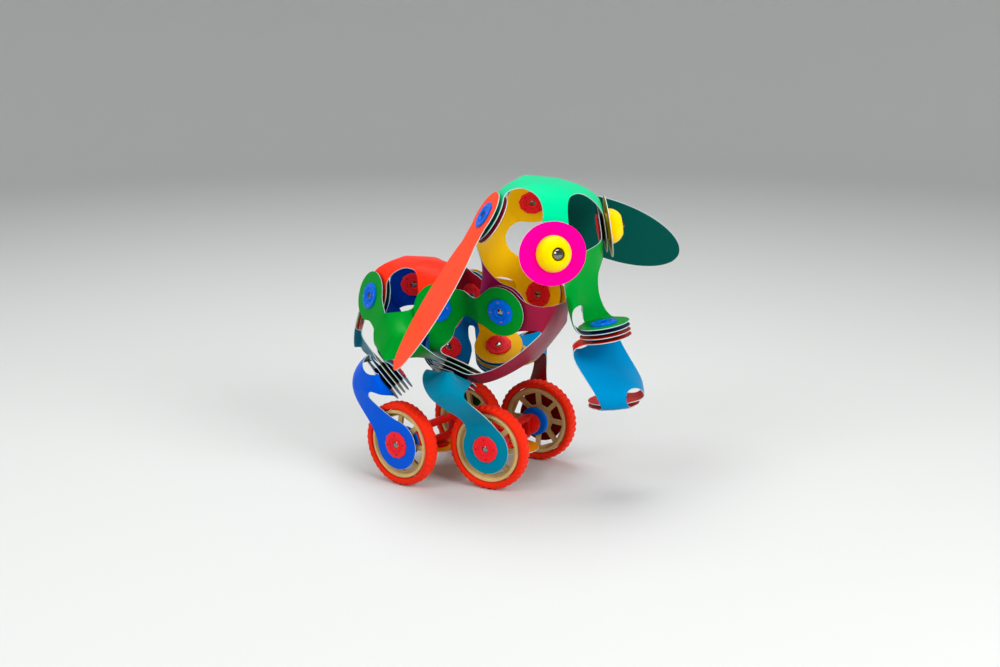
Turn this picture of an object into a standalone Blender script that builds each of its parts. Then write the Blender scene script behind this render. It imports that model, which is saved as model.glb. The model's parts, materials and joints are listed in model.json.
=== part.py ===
"""Wheeled toy elephant built of bent plastic sheets and snap buttons: one object per piece.

Lengths are millimetres until a mesh is stored. +X is the way the elephant rolls, +Y is its left
side and +Z is up. The front axle's centre is the point that the layout is measured from.
"""
import bmesh
import bpy
from math import acos, asin, atan2, cos, pi, radians, sin, sqrt, tan
from mathutils import Matrix, Vector

MM = 0.001
GAP = 0.3

# Flat sheets
SHEET_T = 0.9
DISC_R = 18.5
CROSS_REACH, CROSS_WAIST = 48.0, 20.4
LARGE_CROSS_REACH, LARGE_CROSS_WAIST = 60.0, 23.5
LEG_REACH, LEG_WAIST = 48.0, 15.5
ELBOW_REACH, ELBOW_WAIST = 52.0, 8.5
TAIL_REACH, TAIL_WAIST, STRAP_WAIST = 34.0, 8.6, 6.5
EAR_LENGTH, EAR_BLADE_L, EAR_W, EAR_NECK_W = 145.0, 116.0, 52.0, 33.0
EYE_DISC_L, EYE_DISC_H = 51.0, 45.0
PLAIN_SLACK, LOOP_SLACK = 1.25, 3.0

# Snap buttons
SNAP_R = 10.0
SNAP_FLANGE = 0.95
SNAP_NECK_R = 5.5
SNAP_SIDES = 8
SNAP_FLAT, HUB_FLAT = 7.0, 2.0

# Eyes
DOME_R, DOME_H = 13.0, 11.0
DOME_ARC = radians(57)
BALL_R = 4.3
BALL_SUNK = 6.5

# Wheels
WHEEL_R = 31.5
TYRE_W = 10.0
TYRE_DEPTH = 5.5
LUGS, LUG_H = 28, 1.3
RIM_W = 8.0
RIM_RING = 3.6
RIM_HUB_R = 9.5
WEB_T, RIM_DISH = 3.0, 1.5
SPOKES, SPOKE_W = 8, 4.0
WINDOW_TO_HUB, WINDOW_TO_RING = 2.0, 1.0
AXLE_R = 3.0
TRACK = 77.0
COLLAR_R, COLLAR_W = 8.5, 3.0
KNUCKLE_R, KNUCKLE_SUNK = 7.5, 1.5
FRAME_T, FRAME_H, FRAME_BAR = 7.0, 18.0, 4.5

# Facets
NECK_ROWS, DISC_ROWS, EAR_ROWS = 3, 4, 14
ELBOW_DISC_ROWS, ELBOW_NECK_ROWS = 4, 6
EYE_SIDES, ROUND_SIDES, BALL_SIDES, KNUCKLE_ROWS = 20, 10, 8, 4
PATH_STEPS, FIT_STEPS = 40, 30
SHORTEST_HANDLE, LONGEST_HANDLE = 0.3, 3.0
WELD = 0.02

# Stance of the two axles
AXLE_Z = WHEEL_R
REAR_X, REAR_Y = -54.5, -23.0
REAR_YAW = radians(-10)

SNAP_PITCH = SHEET_T + 2 * GAP + 2 * SNAP_FLANGE
SNAP_TOP = SHEET_T / 2 + GAP + SNAP_FLANGE
SNAP_HOLE_R = (SNAP_NECK_R + GAP) / cos(pi / SNAP_SIDES)


def unit(x, y, z):
    return Vector((x, y, z)).normalized()


def flat_on(direction, normal):
    """The part of a direction that lies in the plane with this normal, as a unit vector."""
    return (direction - normal * direction.dot(normal)).normalized()


def smooth(t):
    t = min(1.0, max(0.0, t))
    return t * t * (3 - 2 * t)


def mirrored(v):
    return Vector((v.x, -v.y, v.z))


class Joint:
    """A stack of snaps: the outermost sheet's place, the stack's axis and its sheets in order."""

    def __init__(self, place, axis, sheets, height=True):
        self.place = Vector(place) + Vector((0, 0, AXLE_Z if height else 0))
        self.axis = unit(*axis)
        self.sheets = sheets

    def mirror(self, sheets):
        return Joint(mirrored(self.place), mirrored(self.axis), sheets, height=False)

    def at(self, sheet, turn=0):
        """Centre of a sheet's disc. A sheet that comes twice is found by its turn."""
        layers = [i for i, name in enumerate(self.sheets) if name == sheet]
        return self.place - self.axis * SNAP_PITCH * layers[turn]

    def frame(self):
        side = flat_on(unit(0.3, 0.2, 1.0) if abs(self.axis.z) < 0.9 else unit(1, 0, 0), self.axis)
        rows = Matrix((side, self.axis.cross(side), self.axis)).transposed().to_4x4()
        return Matrix.Translation(self.place) @ rows


class Star:
    """Flat outline of a sheet: equal arms with round ends and round notches between them.

    The waist is the distance from the hub to a notch. Each notch touches the discs beside it.
    """

    def __init__(self, arms, reach, waist):
        self.arms, self.reach = arms, reach
        self.half = pi / arms
        along = reach * cos(self.half)
        spare = reach ** 2 + waist ** 2 - 2 * along * waist - DISC_R ** 2
        self.notch = spare / (2 * (along + DISC_R - waist))
        centre = waist + self.notch
        self.notch_s, self.notch_v = centre * cos(self.half), centre * sin(self.half)
        self.fork = waist * cos(self.half)
        self.touch = reach - DISC_R * (reach - self.notch_s) / (DISC_R + self.notch)

    def half_width(self, s):
        if s < self.fork - 1e-9:
            return s * tan(self.half)
        if s < self.touch:
            return self.notch_v - sqrt(self.notch ** 2 - (s - self.notch_s) ** 2)
        return sqrt(max(0.0, DISC_R ** 2 - (s - self.reach) ** 2))

    def rows(self):
        """Pairs of edge points, as distances along and beside the arm's middle line."""
        hub = [0.0, self.fork] if self.arms > 2 else [0.0]
        neck = [self.fork + (self.touch - self.fork) * i / NECK_ROWS for i in range(1, NECK_ROWS + 1)]
        start = acos((self.touch - self.reach) / DISC_R)
        disc = [self.reach + DISC_R * cos(start * (1 - i / DISC_ROWS)) for i in range(1, DISC_ROWS + 1)]
        return [((s, -self.half_width(s)), (s, self.half_width(s))) for s in hub + neck + disc]


CROSS = Star(4, CROSS_REACH, CROSS_WAIST)
LARGE_CROSS = Star(4, LARGE_CROSS_REACH, LARGE_CROSS_WAIST)
LEG_STAR = Star(3, LEG_REACH, LEG_WAIST)
TAIL_STAR = Star(2, TAIL_REACH, TAIL_WAIST)
STRAP_STAR = Star(2, sqrt(REAR_X ** 2 + REAR_Y ** 2) / 2, STRAP_WAIST)


class Arm:
    """Bent path of one arm, from the hub's flat middle to the flat round end at a joint."""

    def __init__(self, reach, flat, hub, normal, lead, end, axis, arrive, slack):
        self.reach, self.flat_a, self.hub = reach, flat, hub
        self.lead = flat_on(lead, normal)
        self.end, self.arrive = end, flat_on(arrive, axis)
        self.side_a = normal.cross(self.lead)
        self.side_b = axis.cross(self.arrive)
        if self.side_a.dot(self.side_b) < 0:
            self.side_b = -self.side_b
        self.flat_b = reach - SNAP_R - SNAP_FLAT
        self.points = self.bent_path(slack)

    def bezier(self, handle):
        a = self.hub + self.lead * self.flat_a
        d = self.end + self.arrive * (self.reach - self.flat_b)
        b, c = a + self.lead * handle, d + self.arrive * handle
        points = []
        for i in range(PATH_STEPS + 1):
            t = i / PATH_STEPS
            points.append(a * (1 - t) ** 3 + b * 3 * t * (1 - t) ** 2 + c * 3 * t * t * (1 - t) + d * t ** 3)
        return points

    def bent_path(self, slack):
        """The curve whose length is the flat arm's: longer handles bow the sheet out more."""
        straight = self.bezier(0)
        chord = (straight[-1] - straight[0]).length
        target = min(self.flat_b - self.flat_a, slack * chord)
        low, high = SHORTEST_HANDLE * chord, LONGEST_HANDLE * target
        for _ in range(FIT_STEPS):
            handle = (low + high) / 2
            points = self.bezier(handle)
            length = sum((q - p).length for p, q in zip(points, points[1:]))
            low, high = (handle, high) if length < target else (low, handle)
        return points

    def point(self, s, v):
        """Place of the flat sheet's point at s along the arm and v beside its middle line."""
        if s <= self.flat_a:
            return self.hub + self.lead * s + self.side_a * v
        if s >= self.flat_b:
            return self.end + self.arrive * (self.reach - s) + self.side_b * v
        t = (s - self.flat_a) / (self.flat_b - self.flat_a) * PATH_STEPS
        i = min(int(t), PATH_STEPS - 1)
        tangent = (self.points[i + 1] - self.points[i]).normalized()
        middle = self.points[i].lerp(self.points[i + 1], t - i)
        side = self.side_a.lerp(self.side_b, smooth(t / PATH_STEPS))
        return middle + flat_on(side, tangent) * v


def laid(strips):
    """One surface of several strips, each a list of edge pairs and the way to its points in space."""
    bm = bmesh.new()
    for rows, place in strips:
        grid = bmesh.ops.create_grid(bm, x_segments=len(rows) - 1, y_segments=1, size=1.0)
        for vert in grid["verts"]:
            edges = rows[round((vert.co.x + 1) / 2 * (len(rows) - 1))]
            vert.co = place(*edges[round((vert.co.y + 1) / 2)])
    bmesh.ops.remove_doubles(bm, verts=bm.verts, dist=WELD)
    bmesh.ops.recalc_face_normals(bm, faces=bm.faces)
    return bm


class Sheet:
    """A star bent in space, with its arms in turn round the hub, anticlockwise about the normal."""

    def __init__(self, name, star, hub, normal, arms):
        self.star = star
        hub = Vector(hub) + Vector((0, 0, AXLE_Z))
        normal = unit(*normal)
        flat = max(HUB_FLAT, star.fork / 2)
        self.arms = []
        for joint_name, turn, lead, arrive in arms:
            joint = JOINTS[joint_name]
            end = joint.at(name, turn)
            slack = PLAIN_SLACK if lead is None else LOOP_SLACK
            lead = end - hub if lead is None else Vector(lead)
            arrive = hub - end if arrive is None else Vector(arrive)
            self.arms.append(Arm(star.reach, flat, hub, normal, lead, end, joint.axis, arrive, slack))
        first = self.arms[0].lead
        self.arms.sort(key=lambda arm: atan2(arm.lead.dot(normal.cross(first)), arm.lead.dot(first)))

    def point(self, index, s, v):
        """An arm's point, eased into its neighbour's towards the line where the two meet."""
        star = self.star
        own = self.arms[index].point(s, v)
        if s >= star.touch:
            return own
        step = 1 if v > 0 else -1
        other = self.arms[(index + step) % star.arms]
        turn = -step * 2 * star.half
        beside = other.point(max(0.0, s * cos(turn) - v * sin(turn)), s * sin(turn) + v * cos(turn))
        share = 0.5 * smooth(atan2(abs(v), s) / star.half if s else 1.0)
        fade = 1 - smooth((s - star.fork) / (star.touch - star.fork))
        return own.lerp(beside, share * fade)

    def mesh(self):
        rows = self.star.rows()
        return laid([(rows, lambda s, v, i=index: self.point(i, s, v)) for index in range(self.star.arms)])


class Elbow:
    """Three discs in a bent row: the middle one lies flat in its joint and two necks leave it."""

    def __init__(self, name, middle, ends):
        joint = JOINTS[middle]
        hub = joint.at(name)
        self.half = Star(2, ELBOW_REACH / 2, ELBOW_WAIST)
        self.touch = acos((self.half.reach - self.half.touch) / DISC_R)
        places = {end: JOINTS[end].at(name) for end in ends}
        ways = {end: flat_on(place - hub, joint.axis) for end, place in places.items()}
        towards = flat_on(sum(ways.values(), Vector()), joint.axis)
        across = joint.axis.cross(towards)
        self.arms = []
        for end, arrive in ends.items():
            inner = -1 if ways[end].dot(across) > 0 else 1
            lead = towards * cos(self.touch) - across * inner * sin(self.touch)
            arrive = hub - places[end] if arrive is None else Vector(arrive)
            self.arms.append((inner, Arm(ELBOW_REACH, SNAP_R + SNAP_FLAT, hub, joint.axis, lead, places[end],
                                         JOINTS[end].axis, arrive, LOOP_SLACK)))

    def rows(self, inner):
        """One arm's share of the middle disc, from the line between the arms, then neck and end disc."""
        inside = (DISC_R * cos(self.touch), inner * DISC_R * sin(self.touch))
        rows = []
        for i in range(ELBOW_DISC_ROWS):
            angle = self.touch + (pi - 2 * self.touch) * (1 - i / ELBOW_DISC_ROWS)
            outside = (DISC_R * cos(angle), -inner * DISC_R * sin(angle))
            rows.append((inside, outside) if inner < 0 else (outside, inside))
        first, last = inside[0], ELBOW_REACH - inside[0]
        for i in range(ELBOW_NECK_ROWS + 1):
            s = first + (last - first) * i / ELBOW_NECK_ROWS
            width = self.half.half_width(abs(s - self.half.reach))
            rows.append(((s, -width), (s, width)))
        for i in range(1, ELBOW_DISC_ROWS + 1):
            angle = (pi - self.touch) * (1 - i / ELBOW_DISC_ROWS)
            s, width = ELBOW_REACH + DISC_R * cos(angle), DISC_R * sin(angle)
            rows.append(((s, -width), (s, width)))
        return rows

    def mesh(self):
        return laid([(self.rows(inner), arm.point) for inner, arm in self.arms])


def mirror_arms(arms):
    return [(joint.replace("right", "left"), turn, lead and mirrored(Vector(lead)),
             arrive and mirrored(Vector(arrive))) for joint, turn, lead, arrive in arms]


class Axle:
    """One pair of wheels: its centre and the way to its left wheel."""

    def __init__(self, x, y, yaw):
        self.centre = Vector((x, y, AXLE_Z))
        self.left = Vector((-sin(yaw), cos(yaw), 0))

    def out(self, side):
        return self.left if side == "left" else -self.left

    def wheel(self, side):
        return self.centre + self.out(side) * TRACK / 2

    def hub_joint(self, side, leg):
        reach = TRACK / 2 + RIM_W / 2 + GAP + SNAP_TOP
        return Joint(self.centre + self.out(side) * reach, self.out(side), [leg], height=False)


AXLES = {"front": Axle(0, 0, 0), "rear": Axle(REAR_X, REAR_Y, REAR_YAW)}
STRAP_Z = -FRAME_H / 2 - GAP - SNAP_TOP

# Joints of the right side, with heights above the axles; most left ones are mirrored
JOINTS = {
    "rump_right": Joint((-106, -31, 100), (-0.5, -0.82, 0.25), ["flank_rear_right", "back", "rump"]),
    "mid_right": Joint((-47, -31, 97), (0.25, -0.95, 0.2), [
        "flank_front_right", "flank_rear_right", "back"]),
    "shoulder_right": Joint((6, -33, 101), (0, -1, -0.15), ["flank_front_right", "chest", "head_back"]),
    "front_leg_right": Joint((-30, -30, 57), (0.2, 0.5, 0.84), [
        "flank_front_right", "flank_rear_right", "chest", "leg_front_right", "leg_front_right"]),
    "rear_leg_right": Joint((-78, -40, 50), (0.61, 0.51, 0.61), [
        "flank_rear_right", "rump", "tail", "leg_rear_right", "leg_rear_right"]),
    "ear_right": Joint((-4, -38, 171), (-0.63, -0.58, 0.52), ["ear_right", "head_top", "head_back"]),
    "ear_left": Joint((-5, 37, 173), (-0.42, 0.79, 0.45), ["ear_left", "head_top", "head_back"]),
    "eye_right": Joint((50, -38, 148.6), (0.77, -0.63, 0.14), ["eye_disc_right", "head_top", "face"]),
    "eye_left": Joint((57, 38, 156), (0.86, 0.50, 0.14), ["eye_disc_left", "head_top", "face"]),
    "trunk_root": Joint((74, -4, 94), (-0.18, -0.05, 0.98), ["face", "face", "trunk", "trunk"]),
    "trunk_tip": Joint((81, 0, 38), (-0.1, 0, 0.99), ["trunk", "trunk"]),
    "rear_leg_left": Joint((-74, 30, 50), (0.61, -0.51, 0.61), [
        "flank_rear_left", "rump", "leg_rear_left", "leg_rear_left"]),
    "tail_tip": Joint((-128, -12, 74), (-0.9, -0.35, 0.2), ["tail"]),
}
for mirrored_name in ("rump", "mid", "shoulder", "front_leg"):
    source = JOINTS[mirrored_name + "_right"]
    sheets = [name.replace("right", "left") for name in source.sheets]
    JOINTS[mirrored_name + "_left"] = source.mirror(sheets)
for axle_name, axle in AXLES.items():
    for hub_side in ("right", "left"):
        leg_name = f"leg_{axle_name}_{hub_side}"
        JOINTS[f"hub_{axle_name}_{hub_side}"] = axle.hub_joint(hub_side, leg_name)
    under = (axle.centre.x, axle.centre.y, STRAP_Z)
    JOINTS[f"strap_{axle_name}"] = Joint(under, (0, 0, 1), ["chassis_strap"])

FLANK_REAR_ARMS = [
    (joint, 0, None, None) for joint in ("rump_right", "mid_right", "rear_leg_right", "front_leg_right")]
LEG_FRONT_ARMS = [("hub_front_right", 0, None, None),
                  ("front_leg_right", 0, (1.1, 1.1, -0.1), (0.6, -0.5, 0.4)),
                  ("front_leg_right", 1, (-0.9, -0.9, 0.4), (-0.6, -1.6, 0.7))]
LEG_REAR_ARMS = [("hub_rear_right", 0, None, None),
                 ("rear_leg_right", 0, (-0.5, -0.8, 1.5), (-0.6, -0.3, -0.1)),
                 ("rear_leg_right", 1, (1.3, -0.1, 0.4), (0.2, -1, -0.3))]
LEG_REAR_LEFT_ARMS = [("hub_rear_left", 0, None, None),
                      ("rear_leg_left", 0, (-0.5, 0.1, 0.9), (-0.9, 0.3, 0.9)),
                      ("rear_leg_left", 1, (1.2, 0.1, 0.1), (0.6, 0.7, -0.7))]

# Each sheet: its outline, the place and facing of its hub, and the joint that each arm ends at
SHEETS = {
    "head_top": (CROSS, (24, 0, 192), (0.1, 0, 1), [
        (joint, 0, None, None) for joint in ("ear_right", "ear_left", "eye_right", "eye_left")]),
    "head_back": (CROSS, (-22, 0, 140), (-1, 0, 0.1), [
        (joint, 0, None, None) for joint in ("ear_right", "ear_left", "shoulder_right", "shoulder_left")]),
    "face": (CROSS, (53, 1, 123), (1.2, -0.2, 0.2), [
        ("eye_right", 0, None, None), ("eye_left", 0, None, None),
        ("trunk_root", 0, (0.2, 0.1, -0.9), (-0.7, 0.8, 0)),
        ("trunk_root", 1, (0.5, -0.9, 0.2), (-1, -0.6, 0.3))]),
    "trunk": (LARGE_CROSS, (78, -4, 62), (0.38, -0.21, 0.90), [
        ("trunk_root", 0, (-0.48, 0.88, 0.3), (-0.46, 0.85, 0)),
        ("trunk_root", 1, (-0.88, -0.48, 0.2), (-0.88, -0.48, 0)),
        ("trunk_tip", 0, (0.88, 0.48, -0.2), (0.88, 0.48, 0)),
        ("trunk_tip", 1, (0.48, -0.88, -0.3), (0.46, -0.85, 0))]),
    "back": (CROSS, (-76, 0, 125), (0, 0, 1), [
        (joint, 0, None, None) for joint in ("rump_right", "rump_left", "mid_right", "mid_left")]),
    "rump": (CROSS, (-112, 0, 76), (-1, 0, 0), [
        (joint, 0, None, None) for joint in ("rump_right", "rump_left", "rear_leg_right", "rear_leg_left")]),
    "chest": (LARGE_CROSS, (34, -3, 85), (1, 0, -0.6), [
        ("shoulder_right", 0, (0, -1, 1), (1, 0, -0.2)), ("shoulder_left", 0, (0, 1, 1), (1, 0, -0.2)),
        ("front_leg_right", 0, (0, -1, -1), (1, 0, 0)), ("front_leg_left", 0, (0, 1, -1), (1, 0, 0))]),
    "tail": (TAIL_STAR, (-118, -26, 62), (-0.9, -0.4, 0.1), [
        ("tail_tip", 0, None, None), ("rear_leg_right", 0, None, None)]),
    "chassis_strap": (STRAP_STAR, (REAR_X / 2, REAR_Y / 2, STRAP_Z), (0, 0, 1), [
        ("strap_front", 0, None, None), ("strap_rear", 0, None, None)]),
}
SIDED = {
    "flank_rear": (CROSS, (-75, -57, 77), (-0.3, -0.6, 0.3), FLANK_REAR_ARMS),
    "leg_front": (LEG_STAR, (-13, -77, 51), (0.6, -0.6, -0.2), LEG_FRONT_ARMS),
    "leg_rear": (LEG_STAR, (-99, -62, 39), (-0.3, -0.8, 0), LEG_REAR_ARMS),
}
for name, (star, hub, normal, arms) in SIDED.items():
    SHEETS[name + "_right"] = (star, hub, normal, arms)
    SHEETS[name + "_left"] = (star, mirrored(Vector(hub)), mirrored(Vector(normal)), mirror_arms(arms))
SHEETS["leg_rear_left"] = (LEG_STAR, (-89, 46, 37), (-0.5, 1, -0.3), LEG_REAR_LEFT_ARMS)

# Each elbow: the joint of its middle disc, and its end joints with the side that the neck comes from
ELBOWS = {
    "flank_front_right": ("mid_right", {"shoulder_right": None, "front_leg_right": (-1, -1.1, 0.1)}),
    "flank_front_left": ("mid_left", {"shoulder_left": None, "front_leg_left": (-1, 1.1, 0.1)}),
}


def collection(name):
    made = bpy.data.collections.new(name)
    bpy.context.scene.collection.children.link(made)
    return made


def material(name, colour, roughness=0.45, metallic=0.0):
    made = bpy.data.materials.get(name)
    if made is None:
        made = bpy.data.materials.new(name)
        made.use_nodes = True
        shader = made.node_tree.nodes["Principled BSDF"]
        shader.inputs["Base Color"].default_value = (*colour, 1.0)
        shader.inputs["Roughness"].default_value = roughness
        shader.inputs["Metallic"].default_value = metallic
        made.diffuse_color = (*colour, 1.0)
    return made


def stored(name, bm, into, origin=Vector()):
    """Keep a mesh made in millimetres as an object whose origin is at the given place."""
    bmesh.ops.translate(bm, verts=bm.verts, vec=-origin)
    bmesh.ops.scale(bm, verts=bm.verts, vec=(MM, MM, MM))
    mesh = bpy.data.meshes.new(name)
    bm.to_mesh(mesh)
    bm.free()
    obj = bpy.data.objects.new(name, mesh)
    obj.location = origin * MM
    into.objects.link(obj)
    return obj


def turned(profile, steps, matrix=Matrix()):
    """A body turned about Z from its profile of radii and heights."""
    bm = bmesh.new()
    verts = [bm.verts.new((r, 0, z)) for r, z in profile]
    edges = [bm.edges.new(pair) for pair in zip(verts, verts[1:])]
    bmesh.ops.spin(bm, geom=verts + edges, cent=(0, 0, 0), axis=(0, 0, 1), steps=steps, angle=2 * pi)
    bmesh.ops.remove_doubles(bm, verts=bm.verts, dist=WELD)
    bmesh.ops.recalc_face_normals(bm, faces=bm.faces)
    bmesh.ops.transform(bm, matrix=matrix, verts=bm.verts)
    return bm


def cut(obj, cutter, operation="DIFFERENCE"):
    modifier = obj.modifiers.new(operation.title(), "BOOLEAN")
    modifier.operation = operation
    modifier.solver = "EXACT"
    modifier.object = cutter


def as_tool(obj):
    obj.hide_render = True
    obj.display_type = "WIRE"
    return obj


def thickened(obj):
    solid = obj.modifiers.new("Thickness", "SOLIDIFY")
    solid.thickness = SHEET_T * MM
    solid.offset = 0
    return obj


def hole_cutter(name):
    """A prism through every sheet of a joint."""
    joint = JOINTS[name]
    low = -SNAP_PITCH * (len(joint.sheets) - 1) - SNAP_TOP
    profile = [(0, low), (SNAP_HOLE_R, low), (SNAP_HOLE_R, SNAP_TOP), (0, SNAP_TOP)]
    return as_tool(stored(f"hole_{name}", turned(profile, SNAP_SIDES, joint.frame()), TOOLS))


def snap_profile(first, last):
    """Outline of the snaps that hold a joint's sheets from first to last, top to bottom."""
    top = -SNAP_PITCH * first + SNAP_TOP - GAP / 2
    bottom = -SNAP_PITCH * last - SNAP_TOP + GAP / 2
    profile = [(0, top), (SNAP_R, top)]
    for layer in range(first, last + 1):
        middle = -SNAP_PITCH * layer
        for z in (middle + SHEET_T / 2 + GAP, middle - SHEET_T / 2 - GAP):
            rim = [(SNAP_R, z), (SNAP_NECK_R, z)]
            profile += rim if z > middle else rim[::-1]
    return profile + [(SNAP_R, bottom), (0, bottom)]


def make_snaps(node, joint_name, first, last, colour, origin=Vector()):
    bm = turned(snap_profile(first, last), SNAP_SIDES, JOINTS[joint_name].frame())
    obj = stored(node, bm, TOY, origin)
    obj.data.materials.append(colour)
    return obj


def make_sheet(name, shape, joints, colour, origin=Vector()):
    """A bent surface with the film's thickness and a hole for every joint that holds it."""
    obj = thickened(stored(name, shape.mesh(), TOY, origin))
    for joint_name in dict.fromkeys(joints):
        cut(obj, HOLES[joint_name])
    obj.data.materials.append(colour)


def ear_half_width(s):
    """Half the ear's width at s beyond its snap: a round end, a waist and a long oval."""
    blade = EAR_BLADE_L / 2
    middle = EAR_LENGTH - DISC_R - blade
    disc = sqrt(max(0.0, DISC_R ** 2 - s ** 2))
    oval = EAR_W / 2 * sqrt(max(0.0, 1 - ((s - middle) / blade) ** 2))
    waist = EAR_NECK_W / 2 if 0 < s < middle else 0.0
    return max(disc, oval, waist)


def make_ear(side, along, colour):
    """A flat leaf on the ear's snap, which points the given way."""
    name = f"ear_{side}"
    joint = JOINTS[name]
    along = flat_on(Vector(along), joint.axis)
    across = joint.axis.cross(along)
    far = EAR_LENGTH - DISC_R
    rows = [(far - DISC_R) / 2 - (far + DISC_R) / 2 * cos(pi * i / EAR_ROWS) for i in range(EAR_ROWS + 1)]
    bm = bmesh.new()
    grid = bmesh.ops.create_grid(bm, x_segments=EAR_ROWS, y_segments=1, size=1.0)
    for vert in grid["verts"]:
        s = rows[round((vert.co.x + 1) / 2 * EAR_ROWS)]
        vert.co = joint.place + along * s + across * vert.co.y * ear_half_width(s)
    bmesh.ops.remove_doubles(bm, verts=bm.verts, dist=WELD)
    obj = thickened(stored(name, bm, TOY, joint.place))
    cut(obj, HOLES[name])
    obj.data.materials.append(colour)


def make_eye(side, disc_colour, dome_colour, steel):
    """The oval disc, the dome whose foot is the disc's snap, and the steel ball in its top."""
    joint = JOINTS[f"eye_{side}"]
    level = flat_on(Vector((0, 0, 1)), joint.axis)
    upright = Matrix((level.cross(joint.axis), level, joint.axis)).transposed().to_4x4()
    place = Matrix.Translation(joint.place) @ upright
    bm = bmesh.new()
    bmesh.ops.create_circle(bm, cap_ends=True, segments=EYE_SIDES, radius=1.0)
    bmesh.ops.scale(bm, verts=bm.verts, vec=(EYE_DISC_L / 2, EYE_DISC_H / 2, 1))
    bmesh.ops.transform(bm, matrix=place, verts=bm.verts)
    disc = thickened(stored(f"eye_disc_{side}", bm, TOY, joint.place))
    cut(disc, HOLES[f"eye_{side}"])
    disc.data.materials.append(disc_colour)
    base = SHEET_T / 2 + GAP
    foot = -SNAP_TOP + GAP / 2
    seat_r = BALL_R + GAP
    profile = [(0, foot), (SNAP_R, foot), (SNAP_R, -base), (SNAP_NECK_R, -base), (SNAP_NECK_R, base)]
    profile += [(DOME_R * cos(a), base + DOME_H * sin(a)) for a in (0, DOME_ARC / 2, DOME_ARC)]
    seat_z = base + DOME_H * sin(DOME_ARC)
    profile += [(seat_r, seat_z), (seat_r, seat_z - BALL_SUNK), (0, seat_z - BALL_SUNK)]
    dome = stored(f"eye_dome_{side}", turned(profile, ROUND_SIDES, joint.frame()), TOY, joint.place)
    dome.data.materials.append(dome_colour)
    bm = bmesh.new()
    bmesh.ops.create_uvsphere(bm, u_segments=BALL_SIDES, v_segments=BALL_SIDES - 2, radius=BALL_R)
    middle = joint.place + joint.axis * (seat_z - BALL_SUNK + GAP + BALL_R)
    bmesh.ops.translate(bm, verts=bm.verts, vec=middle)
    ball = stored(f"eye_ball_{side}", bm, TOY, joint.place)
    ball.data.materials.append(steel)


def make_tyre(name, centre, out, colour):
    """A ring whose tread is a row of rounded lugs."""
    bore = WHEEL_R - TYRE_DEPTH
    half = TYRE_W / 2
    profile = [(bore, -half), (WHEEL_R, -half), (WHEEL_R, half), (bore, half), (bore, -half)]
    bm = turned(profile, 2 * LUGS)
    for vert in bm.verts:
        radius = vert.co.xy.length
        step = round(atan2(vert.co.y, vert.co.x) / pi * LUGS)
        if radius > bore + LUG_H and step % 2:
            vert.co.xy *= (WHEEL_R - LUG_H) / radius
    lie = out.to_track_quat("Z", "X").to_matrix().to_4x4()
    bmesh.ops.transform(bm, matrix=Matrix.Translation(centre) @ lie, verts=bm.verts)
    stored(name, bm, TOY, centre).data.materials.append(colour)


def make_rim(name, centre, out, colour):
    """A dished wheel with windows between its spokes and a bore for the axle."""
    outer = WHEEL_R - TYRE_DEPTH - GAP
    inner = outer - RIM_RING
    half = RIM_W / 2
    bore = AXLE_R + GAP
    web = half - WEB_T
    profile = [(bore, half), (inner, half - RIM_DISH), (outer, half), (outer, -half), (inner, -half),
               (inner, web - RIM_DISH), (RIM_HUB_R, web), (RIM_HUB_R, -half), (bore, -half), (bore, half)]
    lie = Matrix.Translation(centre) @ out.to_track_quat("Z", "X").to_matrix().to_4x4()
    obj = stored(name, turned(profile, 2 * SPOKES, lie), TOY, centre)
    obj.data.materials.append(colour)
    bm = bmesh.new()
    near, far = RIM_HUB_R + WINDOW_TO_HUB, inner - WINDOW_TO_RING
    for spoke in range(SPOKES):
        corners = []
        for radius in (near, far):
            swing = pi / SPOKES - SPOKE_W / 2 / radius
            for side in (-swing, swing):
                angle = 2 * pi * (spoke + 0.5) / SPOKES + side
                corners.append((radius * cos(angle), radius * sin(angle), -RIM_W))
        order = [corners[i] for i in (0, 2, 3, 1)]
        face = bm.faces.new([bm.verts.new(corner) for corner in order])
        top = bmesh.ops.extrude_face_region(bm, geom=[face])["geom"]
        moved = [item for item in top if isinstance(item, bmesh.types.BMVert)]
        bmesh.ops.translate(bm, verts=moved, vec=(0, 0, 2 * RIM_W))
    bmesh.ops.recalc_face_normals(bm, faces=bm.faces)
    bmesh.ops.transform(bm, matrix=lie, verts=bm.verts)
    cut(obj, as_tool(stored(f"windows_{name}", bm, TOOLS)))


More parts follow.
